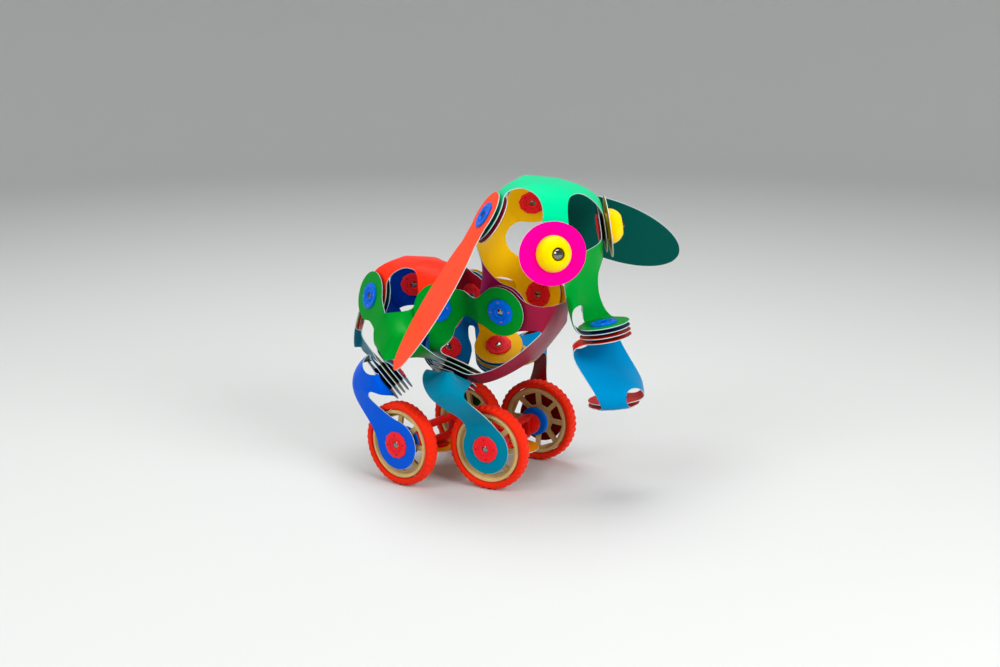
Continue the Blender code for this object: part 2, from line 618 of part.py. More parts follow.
def make_axle_frame(which, colour):
    """A red loop between two ball knuckles, with a stub axle and a collar at each wheel."""
    axle = AXLES[which]
    lie = Matrix.Translation(axle.centre) @ axle.left.to_track_quat("Z", "X").to_matrix().to_4x4()
    wheel_in = TRACK / 2 - RIM_W / 2 - GAP
    tip = TRACK / 2 + RIM_W / 2
    ball = wheel_in - COLLAR_W - KNUCKLE_R + KNUCKLE_SUNK
    last = asin(COLLAR_R / 2 / KNUCKLE_R)
    arc = [pi - (pi - last) * i / KNUCKLE_ROWS for i in range(KNUCKLE_ROWS + 1)]
    end = [(KNUCKLE_R * sin(a), ball + KNUCKLE_R * cos(a)) for a in arc]
    end += [(COLLAR_R, wheel_in - COLLAR_W), (COLLAR_R, wheel_in)]
    end += [(AXLE_R, wheel_in), (AXLE_R, tip), (0, tip)]
    obj = stored(f"axle_frame_{which}", turned(end, ROUND_SIDES, lie), TOY)
    obj.data.materials.append(colour)
    other = turned(end, ROUND_SIDES, lie @ Matrix.Rotation(pi, 4, "X"))
    other_end = as_tool(stored(f"other_end_{which}", other, TOOLS))
    span = 2 * ball
    bm = bmesh.new()
    bmesh.ops.create_cube(bm, size=1.0)
    bmesh.ops.scale(bm, verts=bm.verts, vec=(FRAME_H, FRAME_T, span))
    bmesh.ops.transform(bm, matrix=lie, verts=bm.verts)
    loop = as_tool(stored(f"loop_{which}", bm, TOOLS))
    bm = bmesh.new()
    bmesh.ops.create_cube(bm, size=1.0)
    bmesh.ops.scale(bm, verts=bm.verts, vec=(FRAME_H - 2 * FRAME_BAR, 2 * FRAME_T, span - 2 * KNUCKLE_R))
    bmesh.ops.transform(bm, matrix=lie, verts=bm.verts)
    cut(loop, as_tool(stored(f"loop_window_{which}", bm, TOOLS)))
    cut(obj, loop, "UNION")
    cut(obj, other_end, "UNION")
    joint = JOINTS[f"strap_{which}"]
    profile = snap_profile(0, 0)[2:]
    profile = [(0, SNAP_TOP + 2 * GAP), (SNAP_R, SNAP_TOP + 2 * GAP)] + profile
    snap = turned(profile, SNAP_SIDES, joint.frame())
    cut(obj, as_tool(stored(f"strap_snap_{which}", snap, TOOLS)), "UNION")


for old in list(bpy.data.objects):
    bpy.data.objects.remove(old)
TOY = collection("wheeled_sheet_elephant")
TOOLS = collection("cutters")
HOLES = {name: hole_cutter(name) for name in JOINTS}

SHEET_COLOURS = {
    "head_top": (0.0, 0.80, 0.28), "head_back": (0.87, 0.48, 0.0), "face": (0.0, 0.35, 0.03),
    "trunk": (0.0, 0.39, 0.80), "back": (1.0, 0.02, 0.01), "rump": (0.0, 0.02, 0.19),
    "chest": (0.27, 0.01, 0.04), "tail": (0.0, 0.10, 0.12), "chassis_strap": (0.87, 0.32, 0.0),
    "flank_rear_right": (0.0, 0.32, 0.02), "flank_front_right": (0.0, 0.32, 0.02),
    "flank_rear_left": (0.0, 0.08, 0.40), "flank_front_left": (0.0, 0.10, 0.14),
    "leg_front_right": (0.0, 0.27, 0.50), "leg_front_left": (0.0, 0.12, 0.40),
    "leg_rear_right": (0.0, 0.14, 0.80), "leg_rear_left": (0.0, 0.05, 0.30),
}
TRUNK_ORIGIN = JOINTS["trunk_root"].place
BLUE = material("blue_snap", (0.0, 0.20, 0.87))
RED = material("red_snap", (1.0, 0.04, 0.05))
for name, spec in SHEETS.items():
    pivot = TRUNK_ORIGIN if name == "trunk" else Vector()
    held = [arm[0] for arm in spec[-1]]
    make_sheet(name, Sheet(name, *spec), held, material(f"{name}_film", SHEET_COLOURS[name]), pivot)
for name, (middle, ends) in ELBOWS.items():
    film = material(f"{name}_film", SHEET_COLOURS[name])
    make_sheet(name, Elbow(name, middle, ends), [middle, *ends], film)
make_ear("right", (-0.33, -0.40, -0.85), material("coral_film", (1.0, 0.07, 0.03)))
make_ear("left", (0.68, 0.59, -0.42), material("dark_teal_film", (0.0, 0.08, 0.07)))
for side in ("right", "left"):
    make_eye(side, material("pink_film", (1.0, 0.0, 0.35)), material("yellow_gloss", (1.0, 0.84, 0.0)),
             material("steel_ball", (0.6, 0.6, 0.6), 0.15, 1.0))
    make_snaps(f"ear_snap_{side}", f"ear_{side}", 0, 0, BLUE, JOINTS[f"ear_{side}"].place)
    make_snaps(f"ear_snaps_fixed_{side}", f"ear_{side}", 1, 2, RED)
    make_snaps(f"eye_snaps_fixed_{side}", f"eye_{side}", 1, 2, RED)
    for group in ("rump", "mid", "shoulder", "front_leg", "rear_leg"):
        last = len(JOINTS[f"{group}_{side}"].sheets) - 1
        make_snaps(f"{group}_snaps_{side}", f"{group}_{side}", 0, last, BLUE)
    for which, axle in AXLES.items():
        wheel = f"{which}_{side}"
        make_snaps(f"hub_snap_{wheel}", f"hub_{wheel}", 0, 0, RED)
        make_tyre(f"tyre_{wheel}", axle.wheel(side), axle.out(side), material("red_tyre", (1.0, 0.03, 0.01)))
        make_rim(f"rim_{wheel}", axle.wheel(side), axle.out(side), material("tan_rim", (0.48, 0.31, 0.10)))
make_snaps("trunk_root_snaps", "trunk_root", 0, 1, BLUE)
make_snaps("trunk_top_snaps", "trunk_root", 2, 3, RED, TRUNK_ORIGIN)
make_snaps("trunk_tip_snaps", "trunk_tip", 0, 1, BLUE, TRUNK_ORIGIN)
make_snaps("tail_snap", "tail_tip", 0, 0, RED)
for which in AXLES:
    make_axle_frame(which, material("red_frame", (0.55, 0.01, 0.01)))


def centre(moved, measured):
    """Stand the measured objects on Z = 0, with the middle of their box over the origin."""
    bpy.context.view_layer.update()
    ready = bpy.context.evaluated_depsgraph_get()
    corners = [obj.location + Vector(c) for obj in measured for c in obj.evaluated_get(ready).bound_box]
    low = Vector([min(c[i] for c in corners) for i in range(3)])
    high = Vector([max(c[i] for c in corners) for i in range(3)])
    for obj in moved:
        obj.location -= Vector(((low.x + high.x) / 2, (low.y + high.y) / 2, low.z))


centre([*TOY.objects, *TOOLS.objects], TOY.objects)
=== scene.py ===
# %% [markdown]
# # A rolling elephant of bent film
# The real toy is a kit: flat stars of laminated film, bent by hand, with snap buttons through their
# round ends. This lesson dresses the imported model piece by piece. We start by loading the frame and
# measuring it, because every piece is placed from it.

# %% Load the frame
import json
from math import acos, atan2, cos, floor, pi, radians, sin, sqrt, tan

import bpy
from mathutils import Matrix, Vector


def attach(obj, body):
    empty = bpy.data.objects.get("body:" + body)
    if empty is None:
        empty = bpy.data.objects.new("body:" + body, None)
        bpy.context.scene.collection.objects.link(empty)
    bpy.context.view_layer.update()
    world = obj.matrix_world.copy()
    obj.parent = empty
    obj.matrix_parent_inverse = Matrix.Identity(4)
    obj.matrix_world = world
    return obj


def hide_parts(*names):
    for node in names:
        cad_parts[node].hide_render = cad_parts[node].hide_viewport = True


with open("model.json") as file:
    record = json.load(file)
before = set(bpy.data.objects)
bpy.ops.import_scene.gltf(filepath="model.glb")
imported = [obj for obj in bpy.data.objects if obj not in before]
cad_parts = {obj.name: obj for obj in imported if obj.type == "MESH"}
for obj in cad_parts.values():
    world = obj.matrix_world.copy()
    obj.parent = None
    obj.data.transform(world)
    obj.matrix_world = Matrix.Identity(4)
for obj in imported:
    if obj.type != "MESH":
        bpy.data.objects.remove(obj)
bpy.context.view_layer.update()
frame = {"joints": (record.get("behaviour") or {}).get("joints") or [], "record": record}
record = frame["record"]
BODY_OF = {node: body for body, nodes in record["behaviour"]["bodies"].items() for node in nodes}
MM = 0.001

# %% [markdown]
# The layout is measured from the middle of the front axle, on the floor, in millimetres. The packed
# model stands with the middle of its box over the origin, so one shift takes a layout place to the
# frame. Two wheel joints of the record give it.

# %% Find the front axle in the frame
joint_rows = {row["name"]: row for row in frame["joints"]}


def joint_place(name):
    return Vector(joint_rows[name]["pos_m"]) / MM


front_wheels = [joint_place(f"wheel_front_{side}_spin") for side in ("right", "left")]
axle_middle = (front_wheels[0] + front_wheels[1]) / 2
AXLE_Z = axle_middle.z
TRACK = (front_wheels[1] - front_wheels[0]).length
SHIFT = Vector((axle_middle.x, axle_middle.y, 0))
print("front axle at", [round(c, 1) for c in axle_middle], "track", round(TRACK, 1))

# %% [markdown]
# Every piece ends the same way: its mesh is in place, its object sits at the origin, and it rides on the
# body of the node that it stands for.

# %% Helpers for selecting and handing over
SMOOTH_BELOW = radians(35)


def select_only(*objects):
    bpy.ops.object.select_all(action="DESELECT")
    for obj in objects:
        obj.select_set(True)
    bpy.context.view_layer.objects.active = objects[0]


def joined(objects, name):
    """One object made of several, the first object's name and materials leading."""
    select_only(*objects)
    if len(objects) > 1:
        bpy.ops.object.join()
    objects[0].name = name
    objects[0].data.name = name
    return objects[0]


def linked(name, data):
    """A new object of the scene that shows this mesh, lamp or camera."""
    obj = bpy.data.objects.new(name, data)
    bpy.context.scene.collection.objects.link(obj)
    return obj


def settle(obj, matrix):
    """Put a piece made round the origin in its place, in metres, with the place in its mesh."""
    obj.data.transform(Matrix.Scale(MM, 4) @ Matrix.Translation(SHIFT) @ matrix)
    return obj


def hand_over(piece, *nodes):
    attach(piece, BODY_OF[nodes[0]])
    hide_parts(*nodes)
    return piece


def applied(obj, kind, **values):
    """Add a modifier, set its values and apply it."""
    select_only(obj)
    modifier = obj.modifiers.new(kind.title(), kind)
    for key, value in values.items():
        setattr(modifier, key, value)
    bpy.ops.object.modifier_apply(modifier=modifier.name)
    return obj


def smooth_shaded(obj, angle=SMOOTH_BELOW):
    select_only(obj)
    bpy.ops.object.shade_smooth_by_angle(angle=angle)
    return obj


# %% [markdown]
# ## Finishes
# The film is a satin print: it has a faint mottle, fine scuffs and a slight waviness that breaks up
# its highlights. That effect is one node group, placed in every film material with its own values.
# Moulded plastic gets a finer orange peel from the same group. Highlights take the print's own colour,
# so the strong colours don't wash out.

# %% The surface effect as a node group
CLOUD_SCALE, SCUFF_SCALE, WAVE_SCALE = 55.0, 130.0, 28.0
SCUFF_STRETCH, SCUFF_FROM = (1.0, 0.35, 2.4), 0.56
ROUGHNESS_SWING, WAVE_SHARE = 0.12, 2.0


def ink(code):
    """A colour written as in print, turned to linear light."""
    parts = [int(code[i:i + 2], 16) / 255 for i in (0, 2, 4)]
    return [c / 12.92 if c <= 0.04045 else ((c + 0.055) / 1.055) ** 2.4 for c in parts] + [1.0]


def surface_group():
    """Colour, roughness and height that change over a printed or moulded surface."""
    group = bpy.data.node_groups.new("worn_surface", "ShaderNodeTree")
    face = group.interface
    face.new_socket("Colour", in_out="INPUT", socket_type="NodeSocketColor")
    for name, value in (("Mottle", 0.1), ("Grain size", 900.0), ("Roughness", 0.4), ("Scuffs", 0.2)):
        face.new_socket(name, in_out="INPUT", socket_type="NodeSocketFloat").default_value = value
    face.new_socket("Colour", in_out="OUTPUT", socket_type="NodeSocketColor")
    face.new_socket("Roughness", in_out="OUTPUT", socket_type="NodeSocketFloat")
    face.new_socket("Height", in_out="OUTPUT", socket_type="NodeSocketFloat")
    nodes, links = group.nodes, group.links
    given, result = nodes.new("NodeGroupInput"), nodes.new("NodeGroupOutput")
    place = nodes.new("ShaderNodeTexCoord")

    def noise(scale, detail, stretch=None):
        made = nodes.new("ShaderNodeTexNoise")
        made.inputs["Scale"].default_value = scale
        made.inputs["Detail"].default_value = detail
        source = place.outputs["Object"]
        if stretch:
            mapping = nodes.new("ShaderNodeMapping")
            mapping.inputs["Scale"].default_value = stretch
            links.new(source, mapping.inputs["Vector"])
            source = mapping.outputs["Vector"]
        links.new(source, made.inputs["Vector"])
        return made.outputs["Fac"]

    def math(operation, a, b):
        made = nodes.new("ShaderNodeMath")
        made.operation = operation
        for socket, value in zip(made.inputs, (a, b)):
            if isinstance(value, (int, float)):
                socket.default_value = value
            else:
                links.new(value, socket)
        return made.outputs[0]

    cloud = math("SUBTRACT", noise(CLOUD_SCALE, 3.0), 0.5)
    shade = math("ADD", 1.0, math("MULTIPLY", cloud, given.outputs["Mottle"]))
    tint = nodes.new("ShaderNodeVectorMath")
    tint.operation = "SCALE"
    links.new(given.outputs["Colour"], tint.inputs[0])
    links.new(shade, tint.inputs["Scale"])
    links.new(tint.outputs[0], result.inputs["Colour"])
    grain = nodes.new("ShaderNodeTexNoise")
    grain.inputs["Detail"].default_value = 2.0
    links.new(place.outputs["Object"], grain.inputs["Vector"])
    links.new(given.outputs["Grain size"], grain.inputs["Scale"])
    scuff = noise(SCUFF_SCALE, 4.0, SCUFF_STRETCH)
    above = math("MAXIMUM", math("SUBTRACT", scuff, SCUFF_FROM), 0.0)
    lines = math("MULTIPLY", above, given.outputs["Scuffs"])
    even = math("ADD", given.outputs["Roughness"], math("MULTIPLY", cloud, ROUGHNESS_SWING))
    links.new(math("ADD", even, lines), result.inputs["Roughness"])
    wave = math("MULTIPLY", noise(WAVE_SCALE, 1.0), WAVE_SHARE)
    links.new(math("ADD", math("ADD", grain.outputs["Fac"], wave), lines), result.inputs["Height"])
    return group


SURFACE = surface_group()
print("surface group has", len(SURFACE.nodes), "nodes")

# %% Materials for film, moulded plastic, rubber and steel


def finish(name, code, roughness, mottle=0.1, grain=900.0, scuffs=0.2, bump=0.04, specular=0.4):
    """A Principled material whose colour, roughness and normal come from the surface group."""
    made = bpy.data.materials.new(name)
    made.use_nodes = True
    nodes, links = made.node_tree.nodes, made.node_tree.links
    shader = nodes["Principled BSDF"]
    surface = nodes.new("ShaderNodeGroup")
    surface.node_tree = SURFACE
    surface.inputs["Colour"].default_value = ink(code)
    surface.inputs["Mottle"].default_value = mottle
    surface.inputs["Grain size"].default_value = grain
    surface.inputs["Roughness"].default_value = roughness
    surface.inputs["Scuffs"].default_value = scuffs
    relief = nodes.new("ShaderNodeBump")
    relief.inputs["Strength"].default_value = bump
    relief.inputs["Distance"].default_value = MM
    links.new(surface.outputs["Colour"], shader.inputs["Base Color"])
    links.new(surface.outputs["Roughness"], shader.inputs["Roughness"])
    links.new(surface.outputs["Colour"], shader.inputs["Specular Tint"])
    links.new(surface.outputs["Height"], relief.inputs["Height"])
    links.new(relief.outputs["Normal"], shader.inputs["Normal"])
    shader.inputs["Specular IOR Level"].default_value = specular
    return made


FILM = {}


def film(code):
    """The printed film of one colour, made when it is first asked for."""
    if code not in FILM:
        FILM[code] = finish(f"film_{code}", code, 0.34, mottle=0.08, scuffs=0.25, specular=0.14)
    return FILM[code]


CUT_EDGE = finish("cut_edge", "b4cccc", 0.6, mottle=0.3, grain=2500.0, bump=0.15, specular=0.2)
BLUE_SNAP = finish("blue_moulding", "0068dc", 0.34, mottle=0.06, grain=1800.0, bump=0.06, specular=0.3)
RED_SNAP = finish("red_moulding", "ee2830", 0.34, mottle=0.06, grain=1800.0, bump=0.06, specular=0.3)
# A dark moulding: painted shade on the snap halves hidden between layers, and the colour of the pins in a
# red half.
DARK_PINS_AND_SHADE = finish("dark_pins_and_painted_shade", "16181f", 0.5, mottle=0.06, grain=1800.0, bump=0.06, specular=0.2)
DOME_YELLOW = finish("yellow_moulding", "f4d400", 0.36, mottle=0.05, grain=1500.0, bump=0.04)
TYRE_RED = finish("red_rubber", "ee2c14", 0.5, mottle=0.12, grain=1600.0, bump=0.12, specular=0.2)
RIM_TAN = finish("speckled_tan", "d0b074", 0.45, mottle=0.7, grain=1400.0, bump=0.15)
FRAME_RED = finish("red_frame_moulding", "cc140c", 0.3, mottle=0.06, grain=1500.0, bump=0.05)
STEEL = finish("polished_steel", "8a8782", 0.08, mottle=0.02, scuffs=0.1, bump=0.0)
STEEL.node_tree.nodes["Principled BSDF"].inputs["Metallic"].default_value = 1.0
print("materials so far:", len(bpy.data.materials))

# %% [markdown]
# ## The layout
# A joint is a stack of snaps. Its place is the middle of its outermost sheet, its axis points out of
# the stack, and its sheets follow in order, one snap pitch apart. The list repeats the construction's
# own layout, so the fine sheets end in the same layers as the solid ones.

SHEET_T, FILM_T = 0.9, 0.55
DISC_R = 18.5
SNAP_R, SNAP_FLANGE, GAP = 10.0, 0.95, 0.3
SNAP_PITCH = SHEET_T + 2 * GAP + 2 * SNAP_FLANGE
SNAP_FLAT, HUB_FLAT = 7.0, 2.0
PLAIN_SLACK, LOOP_SLACK = 1.25, 3.0
RIM_W, FRAME_H = 8.0, 18.0
SNAP_TOP = SHEET_T / 2 + GAP + SNAP_FLANGE
rear_wheels = [joint_place(f"wheel_rear_{side}_spin") for side in ("right", "left")]
REAR = (rear_wheels[0] + rear_wheels[1]) / 2 - SHIFT
REAR_LEFT = (rear_wheels[1] - rear_wheels[0]).normalized()
print("rear axle at", [round(c, 1) for c in REAR])

# %% Joints of the sheets


def flat_on(direction, normal):
    return (direction - normal * direction.dot(normal)).normalized()


def mirrored(v):
    return Vector((v[0], -v[1], v[2]))


class Stack:
    def __init__(self, place, axis, sheets, height=AXLE_Z):
        self.place = Vector(place) + Vector((0, 0, height))
        self.axis = Vector(axis).normalized()
        self.sheets = sheets

    def at(self, sheet, turn=0):
        layers = [i for i, name in enumerate(self.sheets) if name == sheet]
        return self.place - self.axis * SNAP_PITCH * layers[turn]

    def frame(self):
        """Takes a snap made round the origin, with its face up, to the stack's outermost layer."""
        on_its_side = abs(self.axis.z) < 0.9
        side = flat_on(Vector((0.3, 0.2, 1)) if on_its_side else Vector((1, 0, 0)), self.axis)
        rows = Matrix((side, self.axis.cross(side), self.axis)).transposed().to_4x4()
        return Matrix.Translation(self.place) @ rows


STACKS = {
    "rump_right": Stack((-106, -31, 100), (-0.5, -0.82, 0.25), ["flank_rear_right", "back", "rump"]),
    "mid_right": Stack((-47, -31, 97), (0.25, -0.95, 0.2), [
        "flank_front_right", "flank_rear_right", "back"]),
    "shoulder_right": Stack((6, -33, 101), (0, -1, -0.15), ["flank_front_right", "chest", "head_back"]),
    "front_leg_right": Stack((-30, -30, 57), (0.2, 0.5, 0.84), [
        "flank_front_right", "flank_rear_right", "chest", "leg_front_right", "leg_front_right"]),
    "rear_leg_right": Stack((-78, -40, 50), (0.61, 0.51, 0.61), [
        "flank_rear_right", "rump", "tail", "leg_rear_right", "leg_rear_right"]),
    "rear_leg_left": Stack((-74, 30, 50), (0.61, -0.51, 0.61), [
        "flank_rear_left", "rump", "leg_rear_left", "leg_rear_left"]),
    "ear_right": Stack((-4, -38, 171), (-0.63, -0.58, 0.52), ["ear_right", "head_top", "head_back"]),
    "ear_left": Stack((-5, 37, 173), (-0.42, 0.79, 0.45), ["ear_left", "head_top", "head_back"]),
    "eye_right": Stack((50, -38, 148.6), (0.77, -0.63, 0.14), ["eye_disc_right", "head_top", "face"]),
    "eye_left": Stack((57, 38, 156), (0.86, 0.50, 0.14), ["eye_disc_left", "head_top", "face"]),
    "trunk_root": Stack((74, -4, 94), (-0.18, -0.05, 0.98), ["face", "face", "trunk", "trunk"]),
    "trunk_tip": Stack((81, 0, 38), (-0.1, 0, 0.99), ["trunk", "trunk"]),
    "tail_tip": Stack((-128, -12, 74), (-0.9, -0.35, 0.2), ["tail"]),
}
for group in ("rump", "mid", "shoulder", "front_leg"):
    right = STACKS[f"{group}_right"]
    sheets = [name.replace("right", "left") for name in right.sheets]
    STACKS[f"{group}_left"] = Stack(mirrored(right.place), mirrored(right.axis), sheets, 0)
AXLES = {"front": (axle_middle - SHIFT, Vector((0, 1, 0))), "rear": (REAR, REAR_LEFT)}
STRAP_Z = AXLE_Z - FRAME_H / 2 - GAP - SNAP_TOP
for which, (middle, left) in AXLES.items():
    hub_out = TRACK / 2 + RIM_W / 2 + GAP + SNAP_TOP
    for side, out in (("right", -left), ("left", left)):
        leg = f"leg_{which}_{side}"
        STACKS[f"hub_{which}_{side}"] = Stack(middle + out * hub_out, out, [leg], 0)
    STACKS[f"strap_{which}"] = Stack((middle.x, middle.y, STRAP_Z), (0, 0, 1), ["chassis_strap"], 0)
print("stacks of snaps:", len(STACKS))

# %% [markdown]
# ## Bent sheets
# A sheet is cut flat: equal arms with round ends, and round notches between them. Each arm follows a
# smooth curve, flat at the hub and flat again in its stack. It is as long as the flat arm, or longer
# where its stack stands farther off. A grid is added for each arm and its points are laid on that bent
# star, because no bend operator could hold both ends. The arms are merged at the hub, the creases
# between them are eased, and the surface gets the film's thickness.

# %% The flat star and the bent arm


class Star:
    """Flat outline: half its width at each distance from the hub."""

    def __init__(self, arms, reach, waist):
        self.arms, self.reach = arms, reach
        self.half = pi / arms
        along = reach * cos(self.half)
        spare = reach ** 2 + waist ** 2 - 2 * along * waist - DISC_R ** 2
        self.notch = spare / (2 * (along + DISC_R - waist))
        centre = waist + self.notch
        self.notch_s, self.notch_v = centre * cos(self.half), centre * sin(self.half)
        self.fork = waist * cos(self.half)
        self.touch = reach - DISC_R * (reach - self.notch_s) / (DISC_R + self.notch)

    def half_width(self, s):
        if s < self.fork - 1e-9:
            return s * tan(self.half)
        if s < self.touch:
            return self.notch_v - sqrt(self.notch ** 2 - (s - self.notch_s) ** 2)
        return sqrt(max(0.0, DISC_R ** 2 - (s - self.reach) ** 2))

    def rows(self, hub_rows=6, neck_rows=16, disc_rows=14):
        """Distances from the hub, close together where the outline turns fast."""
        hub = [self.fork * i / hub_rows for i in range(hub_rows + 1)] if self.arms > 2 else [0.0]
        neck = [self.fork + (self.touch - self.fork) * i / neck_rows for i in range(1, neck_rows + 1)]
        start = acos((self.touch - self.reach) / DISC_R)
        disc = [self.reach + DISC_R * cos(start * (1 - i / disc_rows)) for i in range(1, disc_rows + 1)]
        return [((s, -self.half_width(s)), (s, self.half_width(s))) for s in hub + neck + disc]


def eased(t):
    t = min(1.0, max(0.0, t))
    return t * t * (3 - 2 * t)


class Arm:
    """Bent path of one arm, from the hub's flat middle to the flat round end in its stack."""
    STEPS, FIT_STEPS = 60, 30
    SHORTEST_HANDLE, LONGEST_HANDLE = 0.3, 3.0

    def __init__(self, star, hub, normal, lead, end, axis, arrive, slack):
        self.star, self.hub, self.end = star, hub, end
        self.lead, self.arrive = flat_on(lead, normal), flat_on(arrive, axis)
        self.side_a, self.side_b = normal.cross(self.lead), axis.cross(self.arrive)
        if self.side_a.dot(self.side_b) < 0:
            self.side_b = -self.side_b
        self.flat_a = max(HUB_FLAT, star.fork / 2)
        self.flat_b = star.reach - SNAP_R - SNAP_FLAT
        self.path = self.fitted(slack)

    def curve(self, handle):
        a = self.hub + self.lead * self.flat_a
        d = self.end + self.arrive * (self.star.reach - self.flat_b)
        b, c = a + self.lead * handle, d + self.arrive * handle
        ts = [i / self.STEPS for i in range(self.STEPS + 1)]
        return [a * (1 - t) ** 3 + b * 3 * t * (1 - t) ** 2 + c * 3 * t * t * (1 - t) + d * t ** 3
                for t in ts]

    def fitted(self, slack):
        """The curve nearest to the flat arm's length: longer handles bow the film out more."""
        chord = (self.curve(0)[-1] - self.curve(0)[0]).length
        target = min(self.flat_b - self.flat_a, slack * chord)
        low, high = self.SHORTEST_HANDLE * chord, self.LONGEST_HANDLE * target
        for _ in range(self.FIT_STEPS):
            handle = (low + high) / 2
            points = self.curve(handle)
            length = sum((q - p).length for p, q in zip(points, points[1:]))
            low, high = (handle, high) if length < target else (low, handle)
        return points

    def point(self, s, v):
        if s <= self.flat_a:
            return self.hub + self.lead * s + self.side_a * v
        if s >= self.flat_b:
            return self.end + self.arrive * (self.star.reach - s) + self.side_b * v
        t = (s - self.flat_a) / (self.flat_b - self.flat_a) * self.STEPS
        i = min(int(t), self.STEPS - 1)
        tangent = (self.path[i + 1] - self.path[i]).normalized()
        side = self.side_a.lerp(self.side_b, eased(t / self.STEPS))
        return self.path[i].lerp(self.path[i + 1], t - i) + flat_on(side, tangent) * v


# %% Laying grids on the bent star
COLUMNS, WELD, THINNEST = 10, 0.06, 0.002


class Sheet:
    """All arms of one sheet, in turn round the hub."""

    def __init__(self, name, star, hub, normal, arms):
        self.star = star
        self.normal = Vector(normal).normalized()
        hub = Vector(hub) + Vector((0, 0, AXLE_Z))
        self.arms = []
        for stack_name, turn, lead, arrive in arms:
            stack = STACKS[stack_name]
            end = stack.at(name, turn)
            slack = PLAIN_SLACK if lead is None else LOOP_SLACK
            lead = end - hub if lead is None else Vector(lead)
            arrive = hub - end if arrive is None else Vector(arrive)
            self.arms.append(Arm(star, hub, self.normal, lead, end, stack.axis, arrive, slack))
        first = self.arms[0].lead
        across = self.normal.cross(first)
        self.arms.sort(key=lambda arm: atan2(arm.lead.dot(across), arm.lead.dot(first)))

    def point(self, index, s, v):
        """An arm's point, eased into its neighbour's towards the line where the two meet."""
        star = self.star
        own = self.arms[index].point(s, v)
        if s >= star.touch:
            return own
        step = 1 if v > 0 else -1
        other = self.arms[(index + step) % star.arms]
        turn = -step * 2 * star.half
        beside = other.point(max(0.0, s * cos(turn) - v * sin(turn)), s * sin(turn) + v * cos(turn))
        share = 0.5 * eased(atan2(abs(v), s) / star.half if s else 1.0)
        fade = 1 - eased((s - star.fork) / (star.touch - star.fork))
        return own.lerp(beside, share * fade)


def laid_grid(rows, place):
    """A grid with a row between each pair of edge points, laid where place takes flat points to."""
    bpy.ops.object.select_all(action="DESELECT")
    bpy.ops.mesh.primitive_grid_add(x_subdivisions=len(rows) - 1, y_subdivisions=COLUMNS, size=2)
    grid = bpy.context.object
    for vert in grid.data.vertices:
        edge_a, edge_b = rows[round((vert.co.x + 1) / 2 * (len(rows) - 1))]
        share = (vert.co.y + 1) / 2
        vert.co = place(*(a + (b - a) * share for a, b in zip(edge_a, edge_b)))
    return grid


# %% Easing the creases and giving the film its thickness
RELAX_FADE, RELAX_STEPS, RELAX_SHARE = 10.0, 10, 0.5
EASE_STEPS, EASE_INSIDE, EASE_EDGE = 6, 4.0, 1.0


def relax(surface, ends):
    """Ease the creases between the arms, as springy film does, but leave the round ends as they lie."""
    free = surface.vertex_groups.new(name="free")
    for vert in surface.data.vertices:
        off = min((vert.co - end).length for end in ends)
        free.add([vert.index], eased((off - DISC_R) / RELAX_FADE), "REPLACE")
    applied(surface, "SMOOTH", factor=RELAX_SHARE, iterations=RELAX_STEPS, vertex_group="free")
    applied(surface, "LAPLACIANSMOOTH", lambda_factor=EASE_INSIDE, lambda_border=EASE_EDGE,
            iterations=EASE_STEPS, use_volume_preserve=False, vertex_group="free")
    surface.vertex_groups.clear()


def film_from(surface, name, normal_at, normal, front, back, relax_between=()):
    """Give a merged surface its thickness, with its own colour on each side and a pale cut edge."""
    select_only(surface)
    bpy.ops.object.mode_set(mode="EDIT")
    bpy.ops.mesh.select_all(action="SELECT")
    bpy.ops.mesh.remove_doubles(threshold=WELD)
    bpy.ops.mesh.dissolve_degenerate(threshold=THINNEST)
    bpy.ops.mesh.normals_make_consistent(inside=False)
    bpy.ops.object.mode_set(mode="OBJECT")
    if relax_between:
        relax(surface, relax_between)
    nearest = min(surface.data.polygons, key=lambda p: (p.center - normal_at).length)
    if nearest.normal.dot(normal) < 0:
        surface.data.flip_normals()
    surface.data.materials.clear()
    for paint in (film(front), film(back), CUT_EDGE):
        surface.data.materials.append(paint)
    applied(surface, "SOLIDIFY", thickness=FILM_T, offset=0.0,
            material_offset=1, material_offset_rim=2)
    surface.name = name
    surface.data.name = name
    smooth_shaded(surface)
    return settle(surface, Matrix())


def make_sheet(name, star, hub, normal, arms, front, back):
    sheet = Sheet(name, star, hub, normal, arms)
    grids = []
    for index in range(star.arms):
        grids.append(laid_grid(star.rows(), lambda s, v: sheet.point(index, s, v)))
    surface = joined(grids, name)
    middle = sheet.arms[0].hub
    ends = [arm.end for arm in sheet.arms]
    return hand_over(film_from(surface, f"{name}_film", middle, sheet.normal, front, back, ends), name)


CROSS = Star(4, 48.0, 20.4)
LARGE_CROSS = Star(4, 60.0, 23.5)
LEG = Star(3, 48.0, 15.5)
TAIL = Star(2, 34.0, 8.6)
STRAP = Star(2, REAR.xy.length / 2, 6.5)
print("stars:", [round(star.touch, 1) for star in (CROSS, LARGE_CROSS, LEG, TAIL, STRAP)])

# %% Sheets down the middle of the toy


def plain(*stacks):
    return [(stack, 0, None, None) for stack in stacks]


